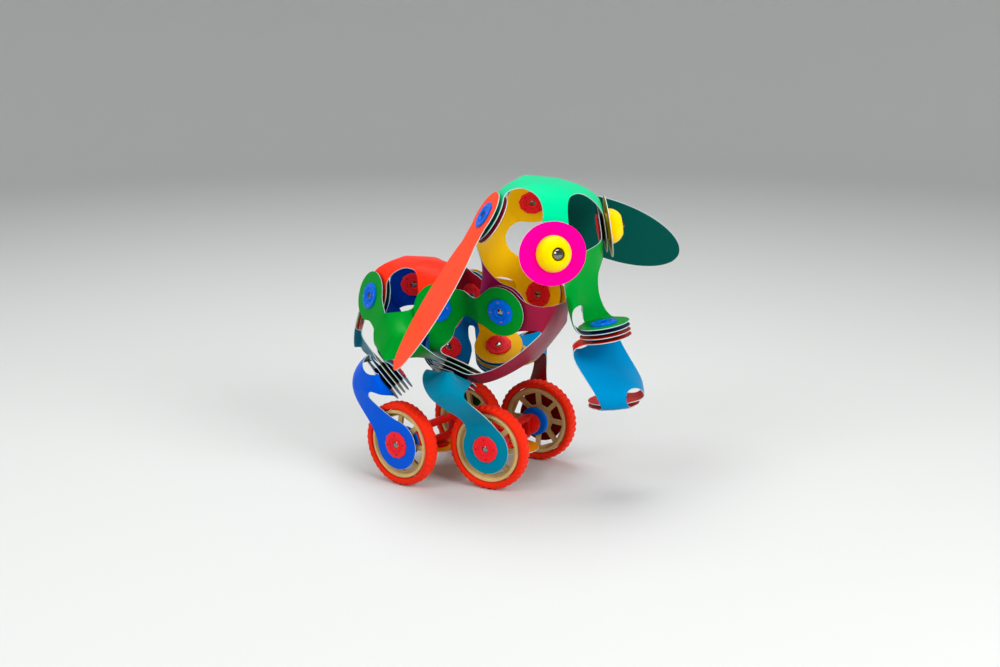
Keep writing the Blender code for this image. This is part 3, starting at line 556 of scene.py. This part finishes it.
MIDDLE_SHEETS = {
    "head_top": (CROSS, (24, 0, 192), (0.1, 0, 1),
                 plain("ear_right", "ear_left", "eye_right", "eye_left"), "00cc8c", "e8b800"),
    "head_back": (CROSS, (-22, 0, 140), (-1, 0, 0.1),
                  plain("ear_right", "ear_left", "shoulder_right", "shoulder_left"), "a81468", "ffce10"),
    "face": (CROSS, (53, 1, 123), (1.2, -0.2, 0.2), plain("eye_right", "eye_left") + [
        ("trunk_root", 0, (0.2, 0.1, -0.9), (-0.7, 0.8, 0)),
        ("trunk_root", 1, (0.5, -0.9, 0.2), (-1, -0.6, 0.3))], "009430", "0c3c70"),
    "trunk": (LARGE_CROSS, (78, -4, 62), (0.38, -0.21, 0.90), [
        ("trunk_root", 0, (-0.48, 0.88, 0.3), (-0.46, 0.85, 0)),
        ("trunk_root", 1, (-0.88, -0.48, 0.2), (-0.88, -0.48, 0)),
        ("trunk_tip", 0, (0.88, 0.48, -0.2), (0.88, 0.48, 0)),
        ("trunk_tip", 1, (0.48, -0.88, -0.3), (0.46, -0.85, 0))], "0082b8", "f02008"),
    "back": (CROSS, (-76, 0, 125), (0, 0, 1),
             plain("rump_right", "rump_left", "mid_right", "mid_left"), "ff3016", "a01020"),
    "rump": (CROSS, (-112, 0, 76), (-1, 0, 0),
             plain("rump_right", "rump_left", "rear_leg_right", "rear_leg_left"), "006078", "0038a8"),
    "chest": (LARGE_CROSS, (34, -3, 85), (1, 0, -0.6), [
        ("shoulder_right", 0, (0, -1, 1), (1, 0, -0.2)), ("shoulder_left", 0, (0, 1, 1), (1, 0, -0.2)),
        ("front_leg_right", 0, (0, -1, -1), (1, 0, 0)), ("front_leg_left", 0, (0, 1, -1), (1, 0, 0))],
        "8c1c38", "f0b000"),
    "tail": (TAIL, (-118, -26, 62), (-0.9, -0.4, 0.1),
             plain("tail_tip", "rear_leg_right"), "006078", "d8a800"),
    "chassis_strap": (STRAP, (REAR.x / 2, REAR.y / 2, STRAP_Z - AXLE_Z), (0, 0, 1),
                      plain("strap_front", "strap_rear"), "f09a00", "f09a00"),
}
for name, spec in MIDDLE_SHEETS.items():
    make_sheet(name, *spec)
print("middle sheets:", list(MIDDLE_SHEETS))

# %% Elbows of the two sides
ELBOW_REACH, ELBOW_WAIST = 52.0, 8.5
ARRIVE = {("flank_front_right", "front_leg_right"): (-1, -1.1, 0.1),
          ("flank_front_left", "front_leg_left"): (-1, 1.1, 0.1)}


def elbow_rows(inner, hub_rows=10, neck_rows=20, disc_rows=14):
    """Edge points of one of an elbow's two strips: its half of the middle disc, neck and end disc."""
    half = Star(2, ELBOW_REACH / 2, ELBOW_WAIST)
    touch = acos((half.reach - half.touch) / DISC_R)
    rows = []
    for i in range(hub_rows):
        outside = touch + (pi - 2 * touch) * (1 - i / hub_rows)
        ends = [(DISC_R * cos(a), sign * DISC_R * sin(a))
                for a, sign in ((touch, inner), (outside, -inner))]
        rows.append(ends if inner < 0 else ends[::-1])
    for i in range(neck_rows + 1):
        s = DISC_R * cos(touch) + (half.touch - half.notch_s) * 2 * i / neck_rows
        width = half.half_width(abs(s - half.reach))
        rows.append(((s, -width), (s, width)))
    for i in range(1, disc_rows + 1):
        a = (pi - touch) * (1 - i / disc_rows)
        s, width = ELBOW_REACH + DISC_R * cos(a), DISC_R * sin(a)
        rows.append(((s, -width), (s, width)))
    return rows, touch


def make_elbow(name, middle, ends, front, back):
    """Three discs in a bent row: the middle one lies flat in its stack, and the two necks bend."""
    stack = STACKS[middle]
    hub = stack.at(name)
    to = [flat_on(STACKS[end].at(name) - hub, stack.axis) for end in ends]
    towards = flat_on(to[0] + to[1], stack.axis)
    across = stack.axis.cross(towards)
    grids = []
    for end, direction in zip(ends, to):
        inner = -1 if direction.dot(across) > 0 else 1
        rows, touch = elbow_rows(inner)
        lead = towards * cos(touch) - across * inner * sin(touch)
        strip = Star(2, ELBOW_REACH, ELBOW_WAIST)
        strip.fork = 2 * (SNAP_R + SNAP_FLAT)
        tip = STACKS[end]
        arrive = ARRIVE.get((name, end), hub - tip.at(name))
        arm = Arm(strip, hub, stack.axis, lead, tip.at(name), tip.axis, Vector(arrive), LOOP_SLACK)
        grids.append(laid_grid(rows, arm.point))
    surface = joined(grids, name)
    return hand_over(film_from(surface, f"{name}_film", hub, stack.axis, front, back), name)


for side, front, back in (("right", "009028", "0878b8"), ("left", "003a44", "e8b000")):
    ends = f"shoulder_{side}", f"front_leg_{side}"
    make_elbow(f"flank_front_{side}", f"mid_{side}", ends, front, back)
print("elbows are", ELBOW_REACH, "mm from disc to disc")

# %% Sheets of the two sides
SIDE_SHEETS = {
    "flank_rear": (CROSS, (-75, -57, 77), (-0.3, -0.6, 0.3),
                   plain("rump_right", "mid_right", "rear_leg_right", "front_leg_right")),
    "leg_front": (LEG, (-13, -77, 51), (0.6, -0.6, -0.2), plain("hub_front_right") + [
        ("front_leg_right", 0, (1.1, 1.1, -0.1), (0.6, -0.5, 0.4)),
        ("front_leg_right", 1, (-0.9, -0.9, 0.4), (-0.6, -1.6, 0.7))]),
    "leg_rear": (LEG, (-99, -62, 39), (-0.3, -0.8, 0), plain("hub_rear_right") + [
        ("rear_leg_right", 0, (-0.5, -0.8, 1.5), (-0.6, -0.3, -0.1)),
        ("rear_leg_right", 1, (1.3, -0.1, 0.4), (0.2, -1, -0.3))]),
}
LEG_REAR_LEFT = (LEG, (-89, 46, 37), (-0.5, 1, -0.3), plain("hub_rear_left") + [
    ("rear_leg_left", 0, (-0.5, 0.1, 0.9), (-0.9, 0.3, 0.9)),
    ("rear_leg_left", 1, (1.2, 0.1, 0.1), (0.6, 0.7, -0.7))])
SIDE_COLOURS = {
    "flank_rear_right": ("009028", "0878b8"), "flank_rear_left": ("005a4a", "0a70b0"),
    "leg_front_right": ("0080a0", "7a0808"), "leg_front_left": ("0078b0", "780808"),
    "leg_rear_right": ("0056d8", "00481c"), "leg_rear_left": ("004a78", "00481c"),
}


def mirrored_arms(arms):
    return [(stack.replace("right", "left"), turn, lead and mirrored(lead), arrive and mirrored(arrive))
            for stack, turn, lead, arrive in arms]


for name, (star, hub, normal, arms) in SIDE_SHEETS.items():
    right, left = f"{name}_right", f"{name}_left"
    make_sheet(right, star, hub, normal, arms, *SIDE_COLOURS[right])
    spec = (star, mirrored(hub), mirrored(normal), mirrored_arms(arms))
    make_sheet(left, *(LEG_REAR_LEFT if name == "leg_rear" else spec), *SIDE_COLOURS[left])
print("side sheets:", list(SIDE_COLOURS))

# %% [markdown]
# ## Ears
# An ear is a flat leaf: a round end at the snap, a waist and a long oval. It is laid on a grid as the
# sheets are, and bows out a little towards its tip.

# %% Ear leaves
EAR_LENGTH, EAR_BLADE_L, EAR_W, EAR_NECK_W = 145.0, 116.0, 52.0, 33.0
EAR_ROWS, EAR_BOW, BOW_POWER = 60, 4.0, 1.4


def ear_half_width(s):
    blade = EAR_BLADE_L / 2
    middle = EAR_LENGTH - DISC_R - blade
    disc = sqrt(max(0.0, DISC_R ** 2 - s ** 2))
    oval = EAR_W / 2 * sqrt(max(0.0, 1 - ((s - middle) / blade) ** 2))
    waist = EAR_NECK_W / 2 if 0 < s < middle else 0.0
    return max(disc, oval, waist)


def make_ear(name, along, front, back):
    stack = STACKS[name]
    along = flat_on(Vector(along), stack.axis)
    across = stack.axis.cross(along)
    far = EAR_LENGTH - DISC_R
    middle, half = (far - DISC_R) / 2, (far + DISC_R) / 2
    rows = [middle - half * cos(pi * i / EAR_ROWS) for i in range(EAR_ROWS + 1)]
    edges = [((s, -ear_half_width(s)), (s, ear_half_width(s))) for s in rows]

    def bowed(s, v):
        lift = EAR_BOW * (max(0.0, s - DISC_R) / far) ** BOW_POWER
        return stack.place + along * s + across * v + stack.axis * lift

    surface = laid_grid(edges, bowed)
    return hand_over(film_from(surface, f"{name}_film", stack.place, stack.axis, front, back), name)


make_ear("ear_right", (-0.33, -0.40, -0.85), "ff4820", "a81468")
make_ear("ear_left", (0.68, 0.59, -0.42), "00524a", "00524a")
print("ears are", EAR_LENGTH, "mm long")

# %% [markdown]
# ## Snap buttons
# A snap has a ten-sided flange with rounded edges, round ribs in its face, a steel plug in the middle
# and four pins, red in a blue half and dark in a red one. Its face is a profile spun about the axis, and
# the outer points are then drawn in to the ten sides. Snaps of the same two colours are copies of one
# master. The halves that press on each other inside a stack are plain and painted dark: painted shade
# for the deep shadow between the layers.

# %% One snap
SNAP_STEPS, SNAP_SIDES, CORNER_OUT = 60, 10, 1.02
RIB, FLANGE_FROM, BORE_R = 0.45, 9.0, 5.4
PLUG_R, PLUG_FLAT, PLUG_SUNK = 2.6, 0.3, 0.75
PINS, PIN_R, PIN_OUT, PIN_TURN, PIN_H = 4, 0.55, 7.4, 0.4, 0.4


def spun(profile, steps, name):
    """A profile of radii and heights, spun about Z with bpy.ops and merged."""
    mesh = bpy.data.meshes.new(name)
    mesh.from_pydata([(r, 0, z) for r, z in profile], [(i, i + 1) for i in range(len(profile) - 1)], [])
    obj = linked(name, mesh)
    select_only(obj)
    bpy.ops.object.mode_set(mode="EDIT")
    bpy.ops.mesh.select_all(action="SELECT")
    bpy.ops.mesh.spin(steps=steps, angle=2 * pi, center=(0, 0, 0), axis=(0, 0, 1))
    bpy.ops.mesh.select_all(action="SELECT")
    bpy.ops.mesh.remove_doubles(threshold=THINNEST)
    bpy.ops.mesh.normals_make_consistent(inside=False)
    bpy.ops.object.mode_set(mode="OBJECT")
    return obj


def snap_half(name):
    """The flange and ribbed face above a sheet, as radii and heights from the face."""
    low, top = SHEET_T / 2, SNAP_TOP - GAP / 2
    seat = [(0, -0.5), (2.9, -0.5), (3.1, -0.1)]
    ribs = [(3.4, RIB * 0.4), (4.0, RIB * 0.4), (4.3, -RIB), (4.8, -RIB), (5.1, 0), (5.6, 0),
            (5.9, -RIB), (6.2, -RIB)]
    flange = [(6.4, -0.05), (9.2, -0.05), (9.75, -0.2), (SNAP_R, -0.5)]
    profile = [(r, top + z) for r, z in seat + ribs + flange] + [(SNAP_R, low), (BORE_R, low)]
    body = spun(profile, SNAP_STEPS, name)
    for vert in body.data.vertices:
        radius = vert.co.xy.length
        if radius > FLANGE_FROM:
            angle = atan2(vert.co.y, vert.co.x) * SNAP_SIDES / (2 * pi)
            swing = (angle - floor(angle) - 0.5) * 2 * pi / SNAP_SIDES
            vert.co.xy *= cos(pi / SNAP_SIDES) / cos(swing) * CORNER_OUT
    return body


def make_snap(over, below):
    """Both halves of a snap on one sheet. A half that shows has a steel plug and four pins."""
    body = snap_half("snap_over")
    under = linked("snap_below", body.data.copy())
    under.data.transform(Matrix.Rotation(pi, 4, "X"))
    top = SNAP_TOP - GAP / 2
    extras = []
    for facing, colour in ((1, over), (-1, below)):
        # A half painted dark as shade between layers gets no plug or pins.
        if colour is DARK_PINS_AND_SHADE:
            continue
        bpy.ops.mesh.primitive_uv_sphere_add(segments=20, ring_count=10, radius=PLUG_R)
        plug = bpy.context.object
        sink = Matrix.Translation((0, 0, facing * (top - PLUG_SUNK)))
        plug.data.transform(sink @ Matrix.Diagonal((1, 1, PLUG_FLAT, 1)))
        plug.data.materials.append(STEEL)
        extras.append(plug)
        for i in range(PINS):
            bpy.ops.mesh.primitive_cylinder_add(vertices=10, radius=PIN_R, depth=PIN_H)
            pin = bpy.context.object
            angle = 2 * pi * i / PINS + PIN_TURN
            place = PIN_OUT * cos(angle), PIN_OUT * sin(angle), facing * (top - PIN_H / 2)
            pin.data.transform(Matrix.Translation(place))
            pin.data.materials.append(RED_SNAP if colour is BLUE_SNAP else DARK_PINS_AND_SHADE)
            extras.append(pin)
    body.data.materials.append(over)
    under.data.materials.append(below)
    return smooth_shaded(joined([body, under] + extras, "snap"))


SNAPS = {}


def snap_copy(name, over, below):
    """A copy of the snap with these two colours, which is made when it is first asked for."""
    key = (over.name, below.name)
    if key not in SNAPS:
        SNAPS[key] = make_snap(over, below)
    return linked(name, SNAPS[key].data.copy())


print("a snap is", 2 * SNAP_R, "mm across, with", SNAP_SIDES, "sides")

# %% Stacks of snaps


def make_stack(node, stack_name, first, last, over, below):
    """Snaps in the layers from first to last as one piece, painted dark as shade where they press on each
    other.
    """
    stack = STACKS[stack_name]
    copies = []
    for layer in range(first, last + 1):
        # Halves that press on the next layer take the dark moulding: painted shade for the gap between
        # sheets.
        upper = over if layer == first else DARK_PINS_AND_SHADE
        lower = below if layer == last else DARK_PINS_AND_SHADE
        down = Matrix.Translation((0, 0, -SNAP_PITCH * layer))
        copies.append(settle(snap_copy(node, upper, lower), stack.frame() @ down))
    return hand_over(joined(copies, f"{node}_buttons"), node)


# The dark halves passed here are painted shade for the layers that press together.
for side in ("right", "left"):
    make_stack(f"ear_snap_{side}", f"ear_{side}", 0, 0, BLUE_SNAP, DARK_PINS_AND_SHADE)
    for place in ("ear", "eye"):
        make_stack(f"{place}_snaps_fixed_{side}", f"{place}_{side}", 1, 2, DARK_PINS_AND_SHADE, RED_SNAP)
    for group in ("rump", "mid", "shoulder", "front_leg", "rear_leg"):
        last = len(STACKS[f"{group}_{side}"].sheets) - 1
        colours = (RED_SNAP, BLUE_SNAP) if "leg" in group else (BLUE_SNAP, RED_SNAP)
        make_stack(f"{group}_snaps_{side}", f"{group}_{side}", 0, last, *colours)
    for which in AXLES:
        make_stack(f"hub_snap_{which}_{side}", f"hub_{which}_{side}", 0, 0, RED_SNAP, DARK_PINS_AND_SHADE)
make_stack("trunk_root_snaps", "trunk_root", 0, 1, BLUE_SNAP, DARK_PINS_AND_SHADE)
make_stack("trunk_top_snaps", "trunk_root", 2, 3, DARK_PINS_AND_SHADE, RED_SNAP)
make_stack("trunk_tip_snaps", "trunk_tip", 0, 1, BLUE_SNAP, BLUE_SNAP)
make_stack("tail_snap", "tail_tip", 0, 0, RED_SNAP, RED_SNAP)

# %% [markdown]
# ## Eyes
# An eye is a pink oval of film, a yellow dome on it and a steel ball sunk in the dome's top. The dome
# is a spun profile with a round shoulder and a small lip where the ball sits.

# %% Eye discs, domes and balls
EYE_L, EYE_H = 51.0, 45.0
DOME_R, DOME_H, BALL_R, BALL_SUNK = 13.0, 11.0, 4.3, 6.5
DOME_ARC, DOME_FOOT = radians(57), 0.4
EYE_ROWS, DOME_ROWS, DOME_STEPS = 48, 14, 64
BALL_POINTS, BALL_RINGS = 40, 24


def make_eye(side, front, back):
    stack = STACKS[f"eye_{side}"]
    level = flat_on(Vector((0, 0, 1)), stack.axis)
    across = level.cross(stack.axis)
    rows = []
    for i in range(EYE_ROWS + 1):
        s, width = -EYE_L / 2 * cos(pi * i / EYE_ROWS), EYE_H / 2 * sin(pi * i / EYE_ROWS)
        rows.append(((s, -width), (s, width)))
    surface = laid_grid(rows, lambda s, v: stack.place + across * s + level * v)
    disc = film_from(surface, f"eye_disc_{side}_film", stack.place, stack.axis, front, back)
    hand_over(disc, f"eye_disc_{side}")
    base = SHEET_T / 2
    seat_z = base + GAP + DOME_H * sin(DOME_ARC)
    seat_r = BALL_R + GAP
    arc = [DOME_ARC * i / DOME_ROWS for i in range(DOME_ROWS + 1)]
    foot = [(0, -SNAP_TOP), (SNAP_R - 0.6, -SNAP_TOP), (SNAP_R, -SNAP_TOP + 0.5), (SNAP_R, -base),
            (SNAP_R, base), (DOME_R - 0.5, base), (DOME_R, base + DOME_FOOT)]
    shell = [(DOME_R * cos(a), base + GAP + DOME_FOOT + (DOME_H - DOME_FOOT) * sin(a)) for a in arc]
    seat = [(seat_r + 0.9, seat_z + 0.1), (seat_r + 0.2, seat_z - 0.2), (seat_r, seat_z - 0.8),
            (seat_r, seat_z - BALL_SUNK), (0, seat_z - BALL_SUNK)]
    dome = smooth_shaded(spun(foot + shell + seat, DOME_STEPS, f"eye_dome_{side}_cap"))
    dome.data.materials.append(DOME_YELLOW)
    hand_over(settle(dome, stack.frame()), f"eye_dome_{side}")
    bpy.ops.mesh.primitive_uv_sphere_add(segments=BALL_POINTS, ring_count=BALL_RINGS, radius=BALL_R)
    ball = bpy.context.object
    ball.name = f"eye_ball_{side}_steel"
    ball.data.materials.append(STEEL)
    smooth_shaded(ball, pi)
    lift = Matrix.Translation((0, 0, seat_z - BALL_SUNK + GAP + BALL_R))
    hand_over(settle(ball, stack.frame() @ lift), f"eye_ball_{side}")


for side in ("right", "left"):
    make_eye(side, "ff0090", "e8a800")
print("eye domes are", 2 * DOME_R, "mm across")

# %% [markdown]
# ## Wheels
# The tyre is soft and has staggered lugs: a torus whose section is squared off, with hollows pressed
# into its tread in two rows half a pitch apart. The rim is spun from a profile and its windows are cut
# with bevelled wedges. One rim is made and copied to all four wheels.

# %% Tyres
WHEEL_R, TYRE_W, TYRE_DEPTH, LUGS, LUG_H = 31.5, 10.0, 5.5, 40, 0.9
LUG_POINTS, SECTION_POINTS = 8, 24
LUG_SHARE, LUG_SWING, LUG_STAGGER = 0.6, 0.7, 4
TREAD_FROM, TREAD_FADE, LUG_NARROWS = 0.1, 0.6, 0.06
SQUARED_OUT, SQUARED_ACROSS = 0.55, 0.6


def wheel_frame(which, side):
    middle, left = AXLES[which]
    out = left if side == "left" else -left
    turn = out.to_track_quat("Z", "X").to_matrix().to_4x4()
    return Matrix.Translation(middle + out * TRACK / 2) @ turn


def power(value, share):
    """A power that keeps the sign, which squares off a round section."""
    return (1 if value > 0 else -1) * abs(value) ** share


def make_tyre(which, side):
    mid_r, half_d, half_w = WHEEL_R - TYRE_DEPTH / 2, TYRE_DEPTH / 2, TYRE_W / 2
    bpy.ops.mesh.primitive_torus_add(major_segments=LUGS * LUG_POINTS, minor_segments=SECTION_POINTS,
                                     major_radius=mid_r, minor_radius=1.0)
    tyre = bpy.context.object
    tyre.name = f"tyre_{which}_{side}_rubber"
    for vert in tyre.data.vertices:
        around = atan2(vert.co.y, vert.co.x)
        outward, up = vert.co.xy.length - mid_r, vert.co.z
        phase = 0.0 if up > 0 else pi
        lug = eased(LUG_SHARE + LUG_SWING * cos(LUGS * around + phase) * min(1.0, abs(up) * LUG_STAGGER))
        tread = eased((outward - TREAD_FROM) / TREAD_FADE)
        height = power(outward, SQUARED_OUT) * half_d - LUG_H * (1 - lug) * tread
        wide = power(up, SQUARED_ACROSS) * half_w * (1 - LUG_NARROWS * (1 - lug) * tread)
        vert.co = ((mid_r + height) * cos(around), (mid_r + height) * sin(around), wide)
    tyre.data.materials.append(TYRE_RED)
    smooth_shaded(tyre, angle=radians(50))
    hand_over(settle(tyre, wheel_frame(which, side)), f"tyre_{which}_{side}")


# %% Rims
RIM_RING, RIM_HUB_R, WEB_T, RIM_DISH, AXLE_R = 3.0, 9.5, 3.0, 2.2, 3.0
SPOKES, SPOKE_W, RIM_STEPS = 8, 3.6, 96
WINDOW_FROM_HUB, WINDOW_FROM_RING, WINDOW_ROUND = 2.0, 1.2, 1.3


def make_rim_master():
    outer = WHEEL_R - TYRE_DEPTH - GAP
    inner, half, bore = outer - RIM_RING, RIM_W / 2, AXLE_R + GAP
    web = half - WEB_T
    face = [(bore, half), (RIM_HUB_R - 0.8, half), (RIM_HUB_R, half - 0.8),
            (inner - 0.4, half - RIM_DISH - 0.6)]
    ring = [(inner + 0.2, half - 0.6), (inner + 0.8, half), (outer - 0.5, half), (outer, half - 0.5),
            (outer, -half + 0.5), (outer - 0.5, -half), (inner + 0.6, -half), (inner, -half + 0.6)]
    inside = [(inner - 0.2, web - RIM_DISH), (RIM_HUB_R + 0.3, web), (RIM_HUB_R, web - 0.3),
              (RIM_HUB_R, -half + 0.5), (RIM_HUB_R - 0.5, -half), (bore, -half), (bore, half)]
    rim = spun(face + ring + inside, RIM_STEPS, "rim_master")
    near, far = RIM_HUB_R + WINDOW_FROM_HUB, inner - WINDOW_FROM_RING
    wedges = []
    for spoke in range(SPOKES):
        bpy.ops.mesh.primitive_cube_add(size=2)
        wedge = bpy.context.object
        middle = 2 * pi * (spoke + 0.5) / SPOKES
        for vert in wedge.data.vertices:
            radius = far if vert.co.x > 0 else near
            angle = middle + (1 if vert.co.y > 0 else -1) * (pi / SPOKES - SPOKE_W / 2 / radius)
            vert.co = (radius * cos(angle), radius * sin(angle), vert.co.z * RIM_W)
        upright = wedge.data.attributes.new("bevel_weight_edge", "FLOAT", "EDGE")
        for edge in wedge.data.edges:
            a, b = (wedge.data.vertices[i].co for i in edge.vertices)
            upright.data[edge.index].value = 1.0 if abs(a.z - b.z) > 1 else 0.0
        applied(wedge, "BEVEL", limit_method="WEIGHT", width=WINDOW_ROUND, segments=4)
        wedges.append(wedge)
    cutter = joined(wedges, "rim_windows")
    applied(rim, "BOOLEAN", operation="DIFFERENCE", solver="EXACT", object=cutter)
    bpy.data.objects.remove(cutter)
    rim.data.materials.clear()
    rim.data.materials.append(RIM_TAN)
    return smooth_shaded(rim, angle=radians(30))


rim_master = make_rim_master()
for which in AXLES:
    for side in ("right", "left"):
        make_tyre(which, side)
        rim = linked(f"rim_{which}_{side}_moulding", rim_master.data.copy())
        hand_over(settle(rim, wheel_frame(which, side)), f"rim_{which}_{side}")
print("a rim has", len(rim_master.data.polygons), "faces")
bpy.data.objects.remove(rim_master)

# %% [markdown]
# ## Axle frames
# Each pair of wheels hangs in a red loop: two bars with a window between them, a ball at each end and
# a blue collar against the wheel. The loop is a box with its window cut out and its edges bevelled, and
# it stops short of the balls' middles. The snap that holds the strap sits under it.

# %% Frames, knuckles and collars
COLLAR_R, COLLAR_W, KNUCKLE_R, KNUCKLE_SUNK = 11.0, 3.0, 7.9, 1.9
FRAME_T, FRAME_BAR, FRAME_SHORT = 7.0, 4.5, 4.0
CORNER_ROUND, EDGE_ROUND, WINDOW_CLEAR = 2.0, 1.6, 0.6
STUB_SUNK, STUB_EDGE, COLLAR_BITE = 4.0, 0.4, 2.5
STUB_STEPS, COLLAR_STEPS = 32, 64


def make_axle_frame(which):
    middle, left = AXLES[which]
    lie = Matrix.Translation(middle) @ left.to_track_quat("Z", "X").to_matrix().to_4x4()
    wheel_in, tip = TRACK / 2 - RIM_W / 2 - GAP, TRACK / 2 + RIM_W / 2
    ball = wheel_in - COLLAR_W - KNUCKLE_R + KNUCKLE_SUNK
    bpy.ops.mesh.primitive_cube_add(size=1)
    loop = bpy.context.object
    loop.data.transform(Matrix.Diagonal((FRAME_H, FRAME_T, 2 * (ball - FRAME_SHORT), 1)))
    bpy.ops.mesh.primitive_cube_add(size=1)
    window = bpy.context.object
    window_l = 2 * (ball - KNUCKLE_R - WINDOW_CLEAR)
    window.data.transform(Matrix.Diagonal((FRAME_H - 2 * FRAME_BAR, 2 * FRAME_T, window_l, 1)))
    applied(window, "BEVEL", width=CORNER_ROUND, segments=4)
    applied(loop, "BOOLEAN", operation="DIFFERENCE", solver="EXACT", object=window)
    bpy.data.objects.remove(window)
    applied(loop, "BEVEL", width=EDGE_ROUND, segments=4, limit_method="ANGLE")
    parts = [loop]
    for facing in (1, -1):
        bpy.ops.mesh.primitive_uv_sphere_add(segments=BALL_POINTS, ring_count=BALL_RINGS, radius=KNUCKLE_R)
        knuckle = bpy.context.object
        knuckle.data.transform(Matrix.Translation((0, 0, facing * ball)))
        root = wheel_in - STUB_SUNK
        rod = [(0, root), (AXLE_R, root), (AXLE_R, tip - STUB_EDGE), (AXLE_R - STUB_EDGE, tip), (0, tip)]
        stub = spun(rod, STUB_STEPS, "stub")
        stub.data.transform(Matrix.Rotation(0 if facing > 0 else pi, 4, "X"))
        parts += [knuckle, stub]
    for part in parts:
        part.data.materials.clear()
        part.data.materials.append(FRAME_RED)
    body = joined(parts, f"axle_frame_{which}_loop")
    smooth_shaded(body, angle=radians(40))
    hand_over(settle(body, lie), f"axle_frame_{which}")
    snap = snap_copy(f"strap_snap_{which}", FRAME_RED, FRAME_RED)
    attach(settle(snap, STACKS[f"strap_{which}"].frame()), "elephant")
    hole, back = KNUCKLE_R - COLLAR_BITE, wheel_in - COLLAR_W
    profile = [(hole, back), (COLLAR_R - 0.7, back), (COLLAR_R, back + 0.7), (COLLAR_R, wheel_in - 0.5),
               (COLLAR_R - 0.5, wheel_in), (hole, wheel_in), (hole, back)]
    rings = []
    for facing in (1, -1):
        ring = spun(profile, COLLAR_STEPS, "collar")
        ring.data.transform(Matrix.Rotation(0 if facing > 0 else pi, 4, "X"))
        ring.data.materials.append(BLUE_SNAP)
        rings.append(ring)
    collars = smooth_shaded(joined(rings, f"collars_{which}"))
    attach(settle(collars, lie), "elephant")


for which in AXLES:
    make_axle_frame(which)
for master in SNAPS.values():
    bpy.data.objects.remove(master)
print("axle frames dressed")

# %% [markdown]
# ## Stage, light and camera
# A pale floor curves up all round, far from the toy. A large soft lamp overhead is the main light, and
# one at the picture's left fills the shadows. A third in front of the face lights the inside of the head
# and shows in no glint. The camera stands where the photograph was taken from.

# %% Floor and backdrop
SWEEP_FLAT, SWEEP_R, SWEEP_TOP = 1.5, 0.9, 1.6
SWEEP_ROWS, SWEEP_STEPS = 16, 96
FLOOR_COLOUR, FLOOR_ROUGHNESS = (0.66, 0.67, 0.66, 1), 0.7
bpy.ops.object.select_all(action="DESELECT")
bend = [radians(90) * i / SWEEP_ROWS for i in range(SWEEP_ROWS + 1)]
sweep_profile = [(0, 0)] + [(SWEEP_FLAT + SWEEP_R * sin(a), SWEEP_R * (1 - cos(a))) for a in bend]
sweep_profile.append((SWEEP_FLAT + SWEEP_R, SWEEP_TOP))
sweep = smooth_shaded(spun(sweep_profile, SWEEP_STEPS, "studio_sweep"))
pale = bpy.data.materials.new("pale_floor")
pale.use_nodes = True
pale.node_tree.nodes["Principled BSDF"].inputs["Base Color"].default_value = FLOOR_COLOUR
pale.node_tree.nodes["Principled BSDF"].inputs["Roughness"].default_value = FLOOR_ROUGHNESS
sweep.data.materials.append(pale)
print("floor is flat to", SWEEP_FLAT, "m from the toy")

# %% Lamps and world
LAMP_AIM = Vector((0, 0, 0.1))
SKY_COLOUR, SKY_STRENGTH = (0.86, 0.88, 0.9, 1), 0.22


def lamp(name, place, size, watts, glints=True):
    light = bpy.data.lights.new(name, "AREA")
    light.size = size
    light.energy = watts
    obj = linked(name, light)
    obj.location = place
    obj.rotation_euler = (LAMP_AIM - Vector(place)).to_track_quat("-Z", "Y").to_euler()
    obj.visible_glossy = glints


lamp("overhead", (-0.25, 0.2, 1.3), 0.9, 12)
lamp("left", (-0.4, -1.15, 1.0), 0.8, 10)
lamp("front", (1.3, -0.35, 0.75), 0.8, 18, glints=False)
world = bpy.data.worlds.new("studio")
world.use_nodes = True
world.node_tree.nodes["Background"].inputs["Color"].default_value = SKY_COLOUR
world.node_tree.nodes["Background"].inputs["Strength"].default_value = SKY_STRENGTH
bpy.context.scene.world = world
bpy.context.scene.view_settings.view_transform = "Standard"
print("lamps:", [light.name for light in bpy.data.lights])

# %% Camera at the photograph's angle
AZIMUTH, ELEVATION, DISTANCE = radians(28.6), radians(14.4), 1200.0
LENS, SENSOR = 58.2, 36.0
AIM = Vector((-12.3, 0, 106.8))
away = Vector((sin(AZIMUTH) * cos(ELEVATION), -cos(AZIMUTH) * cos(ELEVATION), sin(ELEVATION)))
camera = linked("camera", bpy.data.cameras.new("camera"))
camera.data.lens = LENS
camera.data.sensor_width = SENSOR
camera.location = (AIM + SHIFT + away * DISTANCE) * MM
camera.rotation_euler = (-away).to_track_quat("-Z", "Y").to_euler()
bpy.context.scene.camera = camera
print("camera at", [round(c, 3) for c in camera.location])

# %% Clear the selection
bpy.ops.object.select_all(action="DESELECT")
